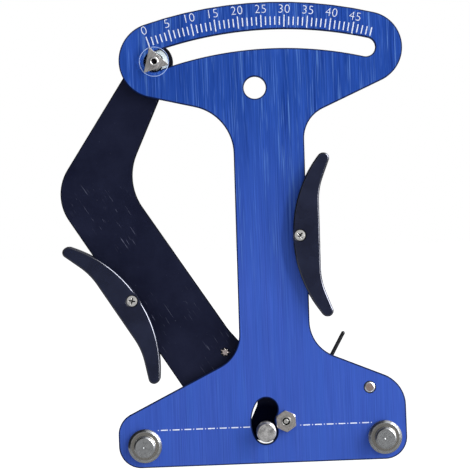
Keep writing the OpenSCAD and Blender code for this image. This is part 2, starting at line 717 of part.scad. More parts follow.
lens_low = body_front + lens_gap;
pointer_low = lens_low + lens_t;
module pointer_spacer() color(STEEL) hang() difference() {
    rod(dial_left, spacer_d, arm_front, lens_low);
    rod(dial_left, pointer_screw_d + 2 * fit, arm_front - through, lens_low + through);
}
module pointer_lens() color(CLEAR) hang() difference() {
    rod(dial_left, lens_d, lens_low, pointer_low);
    rod(dial_left, pointer_screw_d + 2 * fit, lens_low - through, pointer_low + through);
}
module pointer_plate() color(STEEL) hang() difference() {
    slab(pointer_low, pointer_low + pointer_t)
        polygon(rounded([for (k = [0:2])
            soft(dial_left + polar(pointer_r, 90 + dial_start + pointer_turn + 120 * k),
                pointer_tip_r)]));
    rod(dial_left, pointer_screw_d + 2 * fit, lens_low, pointer_low + pointer_t + through);
}
module pointer_screw() color(STEEL) hang() {
    seat = pointer_low + pointer_t;
    difference() {
        union() {
            rod(dial_left, pointer_screw_d, arm_back, seat + pointer_head_h / 2);
            topped_rod(dial_left, pointer_head_d, seat, seat + pointer_head_h, stand);
        }
        hex(dial_left, pointer_socket[0], seat + pointer_head_h - pointer_socket[1],
            seat + pointer_head_h + through);
    }
}

// ---- grips ----

left_mid = (arm_front + arm_back) / 2;
module right_half(front) difference() {
    place_right() grip_half(body_t, front);
    slab(body_back, body_front) body_outline();
    place_right() grip_bores(body_t, front);
}
module left_half(front) difference() {
    translate([0, 0, left_mid]) place_left() grip_half(arm_t, front);
    slab(arm_back, arm_front) arm_outline();
    translate([0, 0, left_mid]) place_left() grip_bores(arm_t, front);
}
module right_grip_front() color(BLACK) hang() right_half(true);
module right_grip_rear() color(BLACK) hang() right_half(false);
module right_grip_screw() color(STEEL) hang() place_right() grip_screw(body_t);
module right_grip_nut() color(STEEL) hang() place_right() grip_nut(body_t);
module left_grip_front() color(BLACK) hang() left_half(true);
module left_grip_rear() color(BLACK) hang() left_half(false);
module left_grip_screw() color(STEEL) hang() translate([0, 0, left_mid]) place_left() grip_screw(arm_t);
module left_grip_nut() color(STEEL) hang() translate([0, 0, left_mid]) place_left() grip_nut(arm_t);

body_plate();
scale_marks();
spoke_line();
arm_plate();
pivot_bolt();
pivot_nut();
pivot_sleeve();
front_collar();
thrust_washer();
rear_washer();
torsion_spring();
arm_spring_pin();
moving_post();
left_post();
right_post();
left_post_screw();
right_post_screw();
adjuster_barrel();
adjuster_screw();
adjuster_lock_nut();
pointer_spacer();
pointer_lens();
pointer_plate();
pointer_screw();
right_grip_front();
right_grip_rear();
right_grip_screw();
right_grip_nut();
left_grip_front();
left_grip_rear();
left_grip_screw();
left_grip_nut();
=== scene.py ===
"""Spoke tension meter: its finished pieces and finishes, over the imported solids.

The pieces are drawn in millimetres: x to the right, y up, z towards the eye from the middle of
the body plate, with the middle of the line between the fixed posts as the zero point. stand()
puts them into the tool's own frame, in metres, from its hanging hole.
"""

import math

import bmesh
import bpy
import numpy as np
from mathutils import Matrix
from mathutils.geometry import delaunay_2d_cdt


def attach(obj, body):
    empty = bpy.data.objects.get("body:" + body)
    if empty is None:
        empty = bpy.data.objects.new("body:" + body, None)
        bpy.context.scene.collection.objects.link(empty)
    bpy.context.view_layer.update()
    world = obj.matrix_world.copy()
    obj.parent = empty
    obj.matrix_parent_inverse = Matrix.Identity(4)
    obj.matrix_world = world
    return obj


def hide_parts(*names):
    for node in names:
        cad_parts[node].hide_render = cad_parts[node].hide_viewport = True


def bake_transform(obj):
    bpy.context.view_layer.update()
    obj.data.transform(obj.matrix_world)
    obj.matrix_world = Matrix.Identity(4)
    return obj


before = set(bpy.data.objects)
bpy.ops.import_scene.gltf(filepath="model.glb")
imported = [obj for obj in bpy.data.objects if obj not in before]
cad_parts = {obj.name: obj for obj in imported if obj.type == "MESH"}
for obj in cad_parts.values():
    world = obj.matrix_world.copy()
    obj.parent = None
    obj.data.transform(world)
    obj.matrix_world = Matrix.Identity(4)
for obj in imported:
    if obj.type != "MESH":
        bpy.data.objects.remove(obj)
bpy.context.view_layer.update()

# ---- sizes, in millimetres and degrees, as drawn ----


def polar(r, degrees):
    """Point at distance r and direction degrees from zero."""
    a = math.radians(degrees)
    return np.array([r * math.cos(a), r * math.sin(a)])


PIVOT = np.array([9.8, 8.8])
POST_SPAN = 108
LEFT_POST, RIGHT_POST = np.array([-POST_SPAN / 2, 0]), np.array([POST_SPAN / 2, 0])
POSTS = ("left", LEFT_POST), ("right", RIGHT_POST)
ADJUSTER = np.array([48, 22.6])
DIAL_R, DIAL_START, DIAL_SWEEP, DIAL_W = 172.2, 18, 32.2, 8.6
SCALE_LEFT = 90 + DIAL_START
SCALE_RIGHT = SCALE_LEFT - DIAL_SWEEP
MARK_PITCH = 0.66
POINTER = PIVOT + polar(DIAL_R, SCALE_LEFT)
HEAD_R, HEAD_LEFT_R, HEAD_RIGHT_R = DIAL_R + 16.6, 17, 16.2
HEAD_MID = PIVOT - [2.25, 0]
HEAD_LEFT = HEAD_MID + polar(HEAD_R - HEAD_LEFT_R, SCALE_LEFT - 1.1)
HEAD_RIGHT = HEAD_MID + polar(HEAD_R - HEAD_RIGHT_R, SCALE_RIGHT - 0.8)
HANG = PIVOT + polar(DIAL_R - 21.5, 93.2)
MOVING_R, MOVING_AT, MOVING_D = 10, 204.8, 8.8
MOVING_POST = PIVOT + polar(MOVING_R, MOVING_AT)
BODY_FRONT, BODY_BACK = 2.0, -2.0
ARM_FRONT, ARM_BACK = -2.6, -5.6
ARM_MID = (ARM_FRONT + ARM_BACK) / 2
PIN_R, PIN_AT = 41.2, 129.6
SPRING_PIN = PIVOT + polar(PIN_R, PIN_AT)
LEG_FRONT = -7.4
WAIST_LOW, WAIST_TOP = np.array([21.95, 41.8]), np.array([22.85, 145])
ELBOW, HEEL = PIVOT + [-101.9, 105.4], PIVOT + [-42.8, 11.8]
M5_HOLE, M3_HOLE = 2.55, 1.55
PIVOT_FLATS, M3_FLATS = 8.6, 5.5


def stand(points):
    """Drawing points, in millimetres, to the tool's own frame, in metres."""
    p = np.asarray(points, float)
    return np.stack([p[:, 0] - HANG[0], -p[:, 2], p[:, 1] - HANG[1]], 1) * 0.001


# ---- outlines ----


def unit(v):
    """Vector of length one."""
    return v / np.linalg.norm(v)


def heading(p, q):
    """Direction from p to q in degrees."""
    return math.degrees(math.atan2(q[1] - p[1], q[0] - p[0]))


def arc(centre, r, start, end, step=3):
    """Points of the arc of radius r round a centre, from one direction to another."""
    count = max(2, math.ceil(abs(end - start) / step) + 1)
    a = np.radians(np.linspace(start, end, count))
    return np.asarray(centre) + r * np.stack([np.cos(a), np.sin(a)], 1)


def hole(centre, r):
    """Closed circle, clockwise."""
    return arc(centre, r, 0, 355, 5)[::-1]


def rounded(corners, closed=True, step=5):
    """Corners (x, y, radius), each rounded by the arc that touches both of its edges."""
    out, n = [], len(corners)
    for i, (x, y, r) in enumerate(corners):
        here = np.array([x, y], float)
        if r == 0 or (not closed and i in (0, n - 1)):
            out.append(here[None])
            continue
        u = unit(np.array(corners[i - 1][:2]) - here)
        v = unit(np.array(corners[(i + 1) % n][:2]) - here)
        half = math.acos(np.clip(u @ v, -1, 1)) / 2
        middle = here + unit(u + v) * r / math.sin(half)
        start = heading(middle, here + u * r / math.tan(half))
        end = heading(middle, here + v * r / math.tan(half))
        out.append(arc(middle, r, start, start + (end - start + 180) % 360 - 180, step))
    points = np.concatenate(out)
    keep = np.linalg.norm(points - np.roll(points, 1, 0), axis=1) > 1e-5
    keep[0] |= not closed
    return points[keep]


def touch(p, centre, r, side):
    """Point where a line from p touches a circle, on its left (+1) or its right (-1)."""
    return centre + polar(r, heading(centre, p) + side * math.degrees(
        math.acos(r / np.linalg.norm(np.asarray(p) - centre))))


def sharp(points):
    """Corners without rounding."""
    return [(x, y, 0) for x, y in points]


def bow(centre, r, p, q):
    """Corners along a circle, counterclockwise from the direction of p to that of q."""
    start = heading(centre, p)
    return sharp(arc(centre, r, start, start + (heading(centre, q) - start + 720) % 360))


def arc_slot(r, w, start, end):
    """Slot of width w along an arc round the pivot, with round ends, clockwise for a hole."""
    return np.concatenate([
        arc(PIVOT, r + w / 2, start, end, 0.8)[:-1],
        arc(PIVOT + polar(r, end), w / 2, end, end + 180, 6)[:-1],
        arc(PIVOT, r - w / 2, end, start, 0.8)[:-1],
        arc(PIVOT + polar(r, start), w / 2, start + 180, start + 360, 6)[:-1]])[::-1]


def body_outline():
    """Foot, waist and dial head, counterclockwise."""
    left = (-9.05, 147.5)
    left_touch = touch(left, HEAD_LEFT, HEAD_LEFT_R, -1)
    right_touch = touch(WAIST_TOP, HEAD_RIGHT, HEAD_RIGHT_R, 1)
    return rounded(
        [(*left, 22), (-9.95, 38.7, 16), (-65.8, 11.4, 10), (-65.8, -10, 10),
         (64, -10, 10), (64, 24, 15), (*WAIST_LOW, 17), (*WAIST_TOP, 15)]
        + bow(HEAD_RIGHT, HEAD_RIGHT_R, right_touch, 2 * HEAD_RIGHT - HEAD_MID)
        + bow(HEAD_MID, HEAD_R, HEAD_RIGHT, HEAD_LEFT)
        + bow(HEAD_LEFT, HEAD_LEFT_R, 2 * HEAD_LEFT - HEAD_MID, left_touch))


def arm_outline():
    """Elbow, heel, the finger under the moving post, the hub and the tip, counterclockwise."""
    inside, toe, bend = PIVOT + [-68.5, 110.2], PIVOT + [-19.5, -7.6], PIVOT + [-24.3, 41.8]
    finger_r, hub_r, tip_r = MOVING_D / 2 + 0.45, 8.5, 8.4
    under = polar(1, heading(MOVING_POST, PIVOT) - math.degrees(
        math.acos((finger_r - hub_r) / MOVING_R)))
    return rounded(
        [(*ELBOW, 21), (*HEEL, 8), (*(PIVOT + [-9.5, 14.2]), 5), (*toe, 6)]
        + bow(MOVING_POST, finger_r, touch(toe, MOVING_POST, finger_r, 1), MOVING_POST + under)
        + bow(PIVOT, hub_r, PIVOT + under, touch(bend, PIVOT, hub_r, -1))
        + [(*bend, 20), (*inside, 25)]
        + bow(POINTER, tip_r, touch(inside, POINTER, tip_r, 1), touch(ELBOW, POINTER, tip_r, -1)))


GRIP_LEN, GRIP_W, GRIP_INSET, GRIP_H = 73.6, 12.1, 3.2, 5.5
GRIP_IN_R, GRIP_TIP_W, GRIP_TIP_R, GRIP_EDGE = 58, 5.3, 2.5, 0.9


def grip_outline():
    """Outline round a grip's screw at zero, hollow towards +x: the inner edge is an arc, and the
    outer one is straight and turns out towards both ends; counterclockwise."""
    middle = np.array([GRIP_IN_R - GRIP_INSET, 0])
    outer, end = GRIP_W - GRIP_INSET, GRIP_LEN / 2
    last = end - GRIP_TIP_R
    foot = np.array([middle[0] - math.sqrt(GRIP_IN_R ** 2 - last ** 2), last])
    tip = foot[0] + GRIP_TIP_R * last / (middle[0] - foot[0])
    return rounded(
        [(tip + GRIP_TIP_W, -end, GRIP_TIP_R), (outer, -20.5, 30), (outer, 20.5, 30),
         (tip + GRIP_TIP_W, end, GRIP_TIP_R), (tip, end, GRIP_TIP_R)]
        + bow(middle, GRIP_IN_R, foot, foot * [1, -1]) + [(tip, -end, GRIP_TIP_R)])


# ---- surfaces ----


class Surface:
    """Points, faces, and a length along the profile for the finish; flat faces are shaded flat."""

    def __init__(self, points, faces=(), along=None, flat=False):
        self.points = np.asarray(points, float).reshape(-1, 3)
        self.faces = [list(map(int, f)) for f in faces]
        self.along = np.zeros(len(self.points)) if along is None else np.asarray(along, float)
        self.flat = [flat] * len(self.faces)

    def __add__(self, other):
        both = Surface(np.concatenate([self.points, other.points]))
        shift = len(self.points)
        both.faces = self.faces + [[i + shift for i in f] for f in other.faces]
        both.along = np.concatenate([self.along, other.along])
        both.flat = self.flat + other.flat
        return both

    def moved(self, matrix, shift=(0, 0, 0)):
        """The same surface turned by a 3 x 3 matrix and then shifted."""
        self.points = self.points @ np.asarray(matrix, float).T + np.asarray(shift, float)
        return self


def turn_z(degrees):
    """Matrix of a turn in the drawing's plane."""
    c, s = math.cos(math.radians(degrees)), math.sin(math.radians(degrees))
    return np.array([[c, -s, 0], [s, c, 0], [0, 0, 1]])


HALF_OVER = np.diag([1.0, -1.0, -1.0])


def whole_turn(count):
    """Directions, in radians, of even steps round a whole turn."""
    return np.linspace(0, 2 * math.pi, count, endpoint=False)


def hexagon(a):
    """Radius of a hexagon two wide across its flats, in directions a from one of its corners."""
    return 1 / np.cos(a % (math.pi / 3) - math.pi / 6)


def level(degrees):
    """Direction in the drawing's plane, of length one."""
    return np.array([*polar(1, degrees), 0])


def grid_quads(rows, cols, closed=False):
    """Quads of a grid whose point in row i and column j has number i * cols + j; each row runs
    round to its start, and closed joins the last row to the first."""
    i = np.arange(rows if closed else rows - 1)[:, None]
    j = np.arange(cols)[None, :]
    below, right = (i + 1) % rows, (j + 1) % cols
    corners = [i * cols + j, below * cols + j, below * cols + right, i * cols + right]
    return np.stack(np.broadcast_arrays(*corners), -1).reshape(-1, 4)


def eased(corners, closed=False, longest=0.5):
    """Profile corners (radius, z, rounding) with their roundings, cut into steps up to longest."""
    line = rounded(corners, closed, 18)
    if closed:
        line = np.concatenate([line, line[:1]])
    out = [line[:1]]
    for a, b in zip(line[:-1], line[1:]):
        count = max(1, math.ceil(np.linalg.norm(b - a) / longest))
        out.append(a + (b - a) * np.linspace(0, 1, count + 1)[1:, None])
    line = np.concatenate(out)
    return line[:-1] if closed else line


def ringed(r, z, at=(0, 0), top=None, foot=None, closed=False, along=None):
    """Rings of radius r and height z, a row for each ring, from the top outwards and down, and a
    column for each step of the turn; top and foot are the heights of closing poles."""
    rows, turns = np.broadcast_shapes(np.shape(r), np.shape(z))
    a = whole_turn(turns)
    points = np.stack(np.broadcast_arrays(at[0] + r * np.cos(a), at[1] + r * np.sin(a), z + 0 * a),
                      -1).reshape(-1, 3)
    along = np.zeros(rows) if along is None else along
    lengths = np.repeat(along, turns)
    j, count, fans = np.arange(turns), len(points), []
    for height, ring, way in ((top, 0, 1), (foot, count - turns, -1)):
        if height is not None:
            pole = np.full(turns, len(points))
            fans += np.stack([pole, ring + j, ring + (j + 1) % turns], -1)[:, ::way].tolist()
            points = np.concatenate([points, [[*at, height]]])
            lengths = np.append(lengths, along[0 if ring == 0 else -1])
    return Surface(points, [*grid_quads(rows, turns, closed), *fans], lengths)


def turned(profile, at=(0, 0), turns=72, closed=False, across=None, spin=0, sides=None):
    """Profile of (radius, z) carried round an upright line through at, from the top outwards and
    down. A point at radius zero becomes a pole. Where across is given, the radius is kept inside
    a hexagon that wide; rows that sides marks have a hexagon's radius themselves."""
    profile = np.asarray(profile, float)
    steps = np.linalg.norm(np.diff(profile, axis=0), axis=1)
    length = np.concatenate([[0], np.cumsum(steps)])
    rings = profile[:, 0] > 1e-9
    six = hexagon(whole_turn(turns) - math.radians(spin))
    r, z = profile[rings, 0][:, None] * np.ones(turns), profile[rings, 1][:, None]
    if sides is not None:
        r = np.where(np.asarray(sides, bool)[rings][:, None], r * six, r)
    if across is not None:
        r = np.minimum(r, across / 2 * six)
    return ringed(r, z, at, None if rings[0] else profile[0, 1],
                  None if rings[-1] else profile[-1, 1], closed, length[rings])


def outward(loop):
    """Directions out of the material at each point of a loop: the mean of the normals of its
    two edges, so long that a shift along it keeps the edges parallel."""
    edge = np.roll(loop, -1, 0) - loop
    edge /= np.linalg.norm(edge, axis=1)[:, None]
    normal = np.stack([edge[:, 1], -edge[:, 0]], 1)
    both = normal + np.roll(normal, 1, 0)
    return both / (1 + (normal * np.roll(normal, 1, 0)).sum(1))[:, None]


def wall(loop, profile, share=1):
    """Profile of (inset, z) carried round a loop, top down; each point takes its share of the
    insets."""
    profile = np.asarray(profile, float)
    out = outward(loop) * share
    flat = loop[None] - out[None] * profile[:, 0][:, None, None]
    z = np.broadcast_to(profile[:, 1][:, None, None], (len(profile), len(loop), 1))
    points = np.concatenate([flat, z], -1).reshape(-1, 3)
    return Surface(points, grid_quads(len(profile), len(loop)))


def inside(points, loop):
    """Which points lie in a loop, by counting the edges that a line to the right crosses."""
    a, b = loop[None], np.roll(loop, -1, 0)[None]
    p = points[:, None]
    spans = (a[..., 1] > p[..., 1]) != (b[..., 1] > p[..., 1])
    rise = np.where(b[..., 1] == a[..., 1], 1, b[..., 1] - a[..., 1])
    cross = a[..., 0] + (p[..., 1] - a[..., 1]) / rise * (b[..., 0] - a[..., 0])
    return (spans & (p[..., 0] < cross)).sum(1) % 2 == 1


def cap(loops, z, facing=1):
    """Flat face at height z between the first loop and the others, which are its holes."""
    points = np.concatenate(loops)
    edges, start = [], 0
    for loop in loops:
        k = np.arange(len(loop))
        edges += np.stack([start + k, start + (k + 1) % len(loop)], 1).tolist()
        start += len(loop)
    found = delaunay_2d_cdt([tuple(p) for p in points], edges, [], 1, 1e-7)
    flat = np.array([tuple(v) for v in found[0]])
    faces = np.array([f for f in found[2] if len(f) == 3])
    middle = flat[faces].mean(1)
    for loop in loops[1:]:
        keep = ~inside(middle, loop)
        faces, middle = faces[keep], middle[keep]
    a, b, c = flat[faces[:, 0]], flat[faces[:, 1]], flat[faces[:, 2]]
    area = (b[:, 0] - a[:, 0]) * (c[:, 1] - a[:, 1]) - (b[:, 1] - a[:, 1]) * (c[:, 0] - a[:, 0])
    faces = np.where((area * facing > 0)[:, None], faces, faces[:, ::-1])
    return Surface(np.column_stack([flat, np.full(len(flat), z)]), faces, flat=True)


def quarter(r, z, down, steps=4):
    """Profile (inset, z) of a rounded edge: a quarter circle of radius r from the face at height
    z outwards, or, where down is -1, inwards to it."""
    a = np.linspace(0, math.pi / 2, steps + 1)
    if down > 0:
        return np.stack([r * (1 - np.sin(a)), z - r * (1 - np.cos(a))], 1)
    return np.stack([r * (1 - np.cos(a)), z + r * (1 - np.sin(a))], 1)


FINE_EDGE = 0.12, 0.1


def plate(loops, low, high, edge, rim=0.45, fine=()):
    """Flat plate with holes: a wall with rounded edges round each loop, and two flat faces with a
    narrow rim; the loops whose numbers are in fine have narrower ones. The length kept for the
    finish is a point's depth below the nearer face, and on the faces it is less than zero."""
    made, inset = Surface([]), []
    for number, loop in enumerate(loops):
        e, w = FINE_EDGE if number in fine else (edge, rim)
        profile = np.concatenate([[[e + w, high]], quarter(e, high, 1), quarter(e, low, -1),
                                  [[e + w, low]]])
        made = made + wall(loop, profile)
        inset.append(loop - outward(loop) * (e + w))
    on_rim = len(made.points)
    made.along = np.minimum(high - made.points[:, 2], made.points[:, 2] - low)
    row = 0
    for loop in loops:
        last = row + (len(profile) - 1) * len(loop)
        made.along[row:row + len(loop)] = made.along[last:last + len(loop)] = -rim
        row = last + len(loop)
    made = made + cap(inset, high) + cap(inset, low, -1)
    made.along[on_rim:] = -rim
    return made


BALL_STEPS = 75, 55, 35, 15


def carried(line, radius, sides=16):
    """Round tube along a line of points, with a half ball at each end."""
    line = np.asarray(line, float)
    step = np.diff(line, axis=0)
    step /= np.linalg.norm(step, axis=1)[:, None]
    along = np.concatenate([step[:1], step[:-1] + step[1:], step[-1:]])
    along /= np.linalg.norm(along, axis=1)[:, None]
    a = np.radians(BALL_STEPS)
    start = line[0] + along[0] * radius * (1 - np.sin(a))[:, None]
    end = line[-1] - along[-1] * radius * (1 - np.sin(a[::-1]))[:, None]
    centres = np.concatenate([start, line[:1] + along[:1] * radius, line[1:-1],
                              line[-1:] - along[-1:] * radius, end])
    small = radius * np.cos(a)
    radii = np.concatenate([small, np.full(len(line), radius), small[::-1]])
    along = np.concatenate([np.repeat(along[:1], len(a), 0), along,
                            np.repeat(along[-1:], len(a), 0)])
    u = np.array([0, 0, 1]) - along * along[:, 2:]
    u /= np.linalg.norm(u, axis=1)[:, None]
    v = np.cross(u, along)
    t = whole_turn(sides)[None, :, None]
    rings = centres[:, None] + radii[:, None, None] * (u[:, None] * np.cos(t)
                                                       + v[:, None] * np.sin(t))
    points = rings.reshape(-1, 3)
    count, j = len(points), np.arange(sides)
    last = count - sides
    fans = np.concatenate([
        np.stack([np.full(sides, count), j, (j + 1) % sides], -1),
        np.stack([np.full(sides, count + 1), last + (j + 1) % sides, last + j], -1)])
    return Surface(np.concatenate([points, line[:1], line[-1:]]),
                   [*grid_quads(len(centres), sides), *fans])


def cross_head(radius, top, bottom, end, dome, reach, width, depth, turns=96):
    """Cross-recessed screw: a dome over a grid of radius and angle, lowered inside two crossed
    slots with sloping walls, then the head's side and the stem. The length kept for the finish is
    the depth of the recess."""
    bevel, stem = 0.25, 1.5
    r = np.linspace(0.03, 1, 34)[:, None] * (radius - bevel)
    a = whole_turn(turns)
    x, y = abs(r * np.cos(a)), abs(r * np.sin(a))
    narrow, far = np.minimum(x, y), np.maximum(x, y)
    beyond = np.maximum(narrow - width / 2, far - reach)
    sink = np.clip(-beyond / 0.12, 0, 1) * depth * np.clip(1.25 - far / reach, 0.35, 1)
    crown = top - dome * (1 - bevel / radius) ** 2
    side = np.array([[radius - 0.08, crown - 0.1], [radius, crown - 0.3], [radius, bottom],
                     [stem, bottom], [stem, end]])
    z = np.concatenate([top - dome * (r / radius) ** 2 - sink, side[:, 1:] + 0 * a])
    r = np.concatenate([r, side[:, :1]])
    made = ringed(r, z, top=top - depth, foot=end)
    made.along[:sink.size] = sink.ravel()
    return made


def thread(radius, length, pitch, depth, turns=24):
    """Screw thread up z: the radius falls by depth in a triangle wave of height and angle; the
    lower end has a hexagon socket half as wide as the screw."""
    z = np.linspace(length, 0, math.ceil(length / pitch * 8))[:, None]
    a = np.linspace(0, 1, turns, endpoint=False)
    wave = abs(2 * ((z / pitch - a) % 1) - 1)
    fade = np.clip(np.minimum(z, length - z) / 0.5, 0, 1)
    socket = radius / 2 * hexagon(2 * math.pi * a) * np.ones((2, 1))
    deep = 0.8 * radius
    r = np.concatenate([radius - depth * (1 - fade * wave), socket])
    return ringed(r, np.concatenate([z, [[0], [deep]]]), top=length, foot=deep)


def placed(name, data):
    """New object, linked to the scene."""
    piece = bpy.data.objects.new(name, data)
    bpy.context.scene.collection.objects.link(piece)
    return piece


def put(name, surface, body, finish, slot, *nodes):
    """Makes the piece's mesh, welds its seams, gives it its finish and seats it on its body."""
    mesh = bpy.data.meshes.new(name)
    mesh.from_pydata(stand(surface.points).tolist(), [], surface.faces)
    mesh.polygons.foreach_set("use_smooth", [not f for f in surface.flat])
    along = mesh.attributes.new("along", "FLOAT", "POINT")
    along.data.foreach_set("value", surface.along.astype(np.float32))
    mesh.materials.append(finish)
    welded = bmesh.new()
    welded.from_mesh(mesh)
    bmesh.ops.remove_doubles(welded, verts=welded.verts, dist=1e-6)
    welded.to_mesh(mesh)
    welded.free()
    piece = placed(name, mesh)
    if body:
        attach(piece, body)
    if nodes:
        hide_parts(*nodes)
    return piece


# ---- finishes ----


def new_finish(name, colour, roughness, metallic=0.0, **sockets):
    """Principled material with its constant values on its own sockets."""
    m = bpy.data.materials.new(name)
    m.use_nodes = True
    sockets.update(Base_Color=(*colour, 1), Roughness=roughness, Metallic=metallic)
    for key, value in sockets.items():
        m.node_tree.nodes["Principled BSDF"].inputs[key.replace("_", " ")].default_value = value
    return m


def feed(m, socket, value):
    """Gives an input a constant, or links another node's output to it."""
    if isinstance(value, bpy.types.NodeSocket):
        m.node_tree.links.new(value, socket)
    else:
        socket.default_value = value


def add(m, kind, *first, **values):
    """Node with its properties and inputs, the first inputs in order; an input may be a constant
    or another node's output."""
    made = m.node_tree.nodes.new("ShaderNode" + kind)
    for key, value in values.items():
        name = key.replace("_", " ")
        if hasattr(made, key) and name not in made.inputs:
            setattr(made, key, value)
        else:
            feed(m, made.inputs[name], value)
    for socket, value in zip(made.inputs, first):
        feed(m, socket, value)
    return made


def link(m, output, socket):
    """Links a node's output to an input of the finish's shader."""
    feed(m, m.node_tree.nodes["Principled BSDF"].inputs[socket], output)


def own_place(m):
    """Place on the piece's own coordinates, in metres."""
    return add(m, "TexCoord").outputs["Object"]


def kept_length(m):
    """Length kept with the piece's points."""
    return add(m, "Attribute", attribute_name="along").outputs["Fac"]


def pattern(m, scale, turn=(0, 0, 0), detail=3.0, rough=0.6):
    """Noise on the piece's own coordinates, turned and then squeezed by scale, along each axis
    or alike."""
    squeezed = add(m, "Mapping", vector_type="TEXTURE", Vector=own_place(m), Rotation=turn,
                   Scale=[1 / s for s in np.broadcast_to(scale, 3).tolist()])
    return add(m, "TexNoise", Vector=squeezed.outputs["Vector"], Scale=1.0, Detail=detail,
               Roughness=rough).outputs["Fac"]


def ramp(m, value, *stops):
    """Colour ramp over stops of (place, colour)."""
    made = add(m, "ValToRGB", Fac=value)
    while len(made.color_ramp.elements) < len(stops):
        made.color_ramp.elements.new(0.5)
    for element, (place, colour) in zip(made.color_ramp.elements, stops):
        element.position = place
        element.color = (*colour, 1)
    return made.outputs["Color"]


def span(m, value, low, high, to_low=0, to_high=1):
    """Value between low and high, mapped to another range."""
    return add(m, "MapRange", Value=value, From_Min=low, From_Max=high,
               To_Min=to_low, To_Max=to_high).outputs["Result"]


def bump(m, height, strength, distance):
    """Relief of the shader's surface."""
    made = add(m, "Bump", Height=height, Strength=strength, Distance=distance)
    link(m, made.outputs["Normal"], "Normal")


def mixed(m, factor, first, second):
    """Colour between two, each a colour or another node's output."""
    made = add(m, "Mix", factor, data_type="RGBA")
    for socket, value in ((made.inputs[6], first), (made.inputs[7], second)):
        feed(m, socket, (*value, 1) if isinstance(value, tuple) else value)
    return made.outputs[2]


def mixed_value(m, factor, first, second):
    """Number between two, each a constant or another node's output."""
    made = add(m, "Mix", factor)
    feed(m, made.inputs[2], first)
    feed(m, made.inputs[3], second)
    return made.outputs[0]


def paired(m, operation, first, second):
    """What a math operation makes of two numbers, each a constant or another node's output."""
    return add(m, "Math", first, second, operation=operation).outputs[0]


def product(m, first, second):
    """Two numbers multiplied."""
    return paired(m, "MULTIPLY", first, second)


def near_to(m, spot, near, far):
    """1 within a distance of a spot on the arm's face and 0 beyond another, in metres."""
    away = add(m, "VectorMath", own_place(m), stand([[*spot, ARM_FRONT]])[0].tolist(),
               operation="DISTANCE")
    return span(m, away.outputs["Value"], near, far, 1, 0)


def anodised_blue():
    """Blue anodised plate, brushed lengthways: fine and bold streaks in colour, gloss and height,
    bolder towards the dial; painted shade darkens the colour towards the dial and along the edges."""
    m = new_finish("anodised_blue", (0.04, 0.11, 0.54), 0.42, 0.35, Specular_IOR_Level=0.1)
    fine = pattern(m, (1900, 500, 24), detail=2, rough=0.8)
    bold = pattern(m, (2100, 400, 20), detail=1)
    patch = pattern(m, (420, 120, 50), detail=2)
    band = pattern(m, (170, 60, 9), detail=2)
    # Painted shade: deep is the colour at the dial and light the colour at the foot; the blend by
    # height darkens the head, where less light falls.
    deep = ramp(m, fine, (0.36, (0.006, 0.04, 0.25)), (0.64, (0.02, 0.08, 0.43)))
    light = ramp(m, fine, (0.34, (0.038, 0.09, 0.44)), (0.66, (0.053, 0.117, 0.54)))
    height = add(m, "SeparateXYZ", own_place(m)).outputs["Z"]
    colour = mixed(m, span(m, height, -0.09, -0.005), light, deep)
    strong = product(m, span(m, patch, 0.42, 0.62), span(m, height, -0.1, -0.01, 0.18, 0.9))
    for noise, low, high, most, share, streak in (
            (bold, 0.53, 0.66, 0.8, strong, (0.13, 0.28, 0.7)),
            (bold, 0.47, 0.34, 0.7, strong, (0.003, 0.02, 0.17)),
            (band, 0.4, 0.65, 1, 0.25, (0.045, 0.14, 0.62))):
        here = product(m, span(m, noise, low, high, 0, most), share)
        colour = mixed(m, here, colour, streak)
    # Painted shade: the rounded edges turn near-black, rough and not metallic, standing in for the
    # shade along the outline.
    edge = span(m, kept_length(m), -0.35, -0.05)
    link(m, mixed(m, edge, colour, (0.002, 0.01, 0.06)), "Base Color")
    link(m, span(m, edge, 0, 1, 0.35, 0), "Metallic")
    grain = span(m, bold, 0.3, 0.7, 0.5, 0.36)
    link(m, mixed_value(m, edge, grain, 0.8), "Roughness")
    bump(m, fine, 0.25, 0.00003)
    return m


def printed_white():
    """White screen print, a little uneven."""
    m = new_finish("printed_white", (0.86, 0.88, 0.92), 0.55)
    worn = pattern(m, 3000, detail=2)
    link(m, ramp(m, worn, (0.25, (0.46, 0.54, 0.76)), (0.5, (0.74, 0.79, 0.91))), "Base Color")
    return m


def coated_navy():
    """Blue-black coating: a faint cloud, and a few fine bright scratches and specks; painted shade
    makes it blacker round the moving post and under the pointer, where the body plate shades it."""
    m = new_finish("coated_navy", (0.006, 0.008, 0.026), 0.45, Specular_IOR_Level=0.1)
    cloud = pattern(m, 45, detail=5, rough=0.65)
    scratch = pattern(m, (2400, 300, 100), turn=(0, -0.55, 0), detail=2)
    speck = pattern(m, 1500, detail=1)
    colour = ramp(m, cloud, (0.35, (0.003, 0.0045, 0.019)), (0.68, (0.0075, 0.01, 0.031)))
    here = span(m, pattern(m, 28, detail=1), 0.5, 0.62)
    marks = product(m, span(m, scratch, 0.67, 0.74), here)
    colour = mixed(m, marks, colour, (0.14, 0.15, 0.22))
    colour = mixed(m, span(m, speck, 0.77, 0.81, 0, 0.7), colour, (0.16, 0.17, 0.23))
    # Painted shade: near-black, and kept from gloss by the metallic link, round the moving post
    # and under the pointer.
    post_painted_shade = near_to(m, MOVING_POST, 0.011, 0.015)
    for painted_shade in (post_painted_shade, near_to(m, POINTER, 0.009, 0.014)):
        colour = mixed(m, painted_shade, colour, (0.0012, 0.0018, 0.008))
    # Painted shade: the rounded edges are darker.
    edge = span(m, kept_length(m), -0.3, -0.05)
    link(m, mixed(m, edge, colour, (0.002, 0.003, 0.008)), "Base Color")
    link(m, post_painted_shade, "Metallic")
    link(m, mixed_value(m, edge, span(m, cloud, 0.3, 0.7, 0.4, 0.52), 0.8), "Roughness")
    bump(m, cloud, 0.1, 0.0002)
    return m


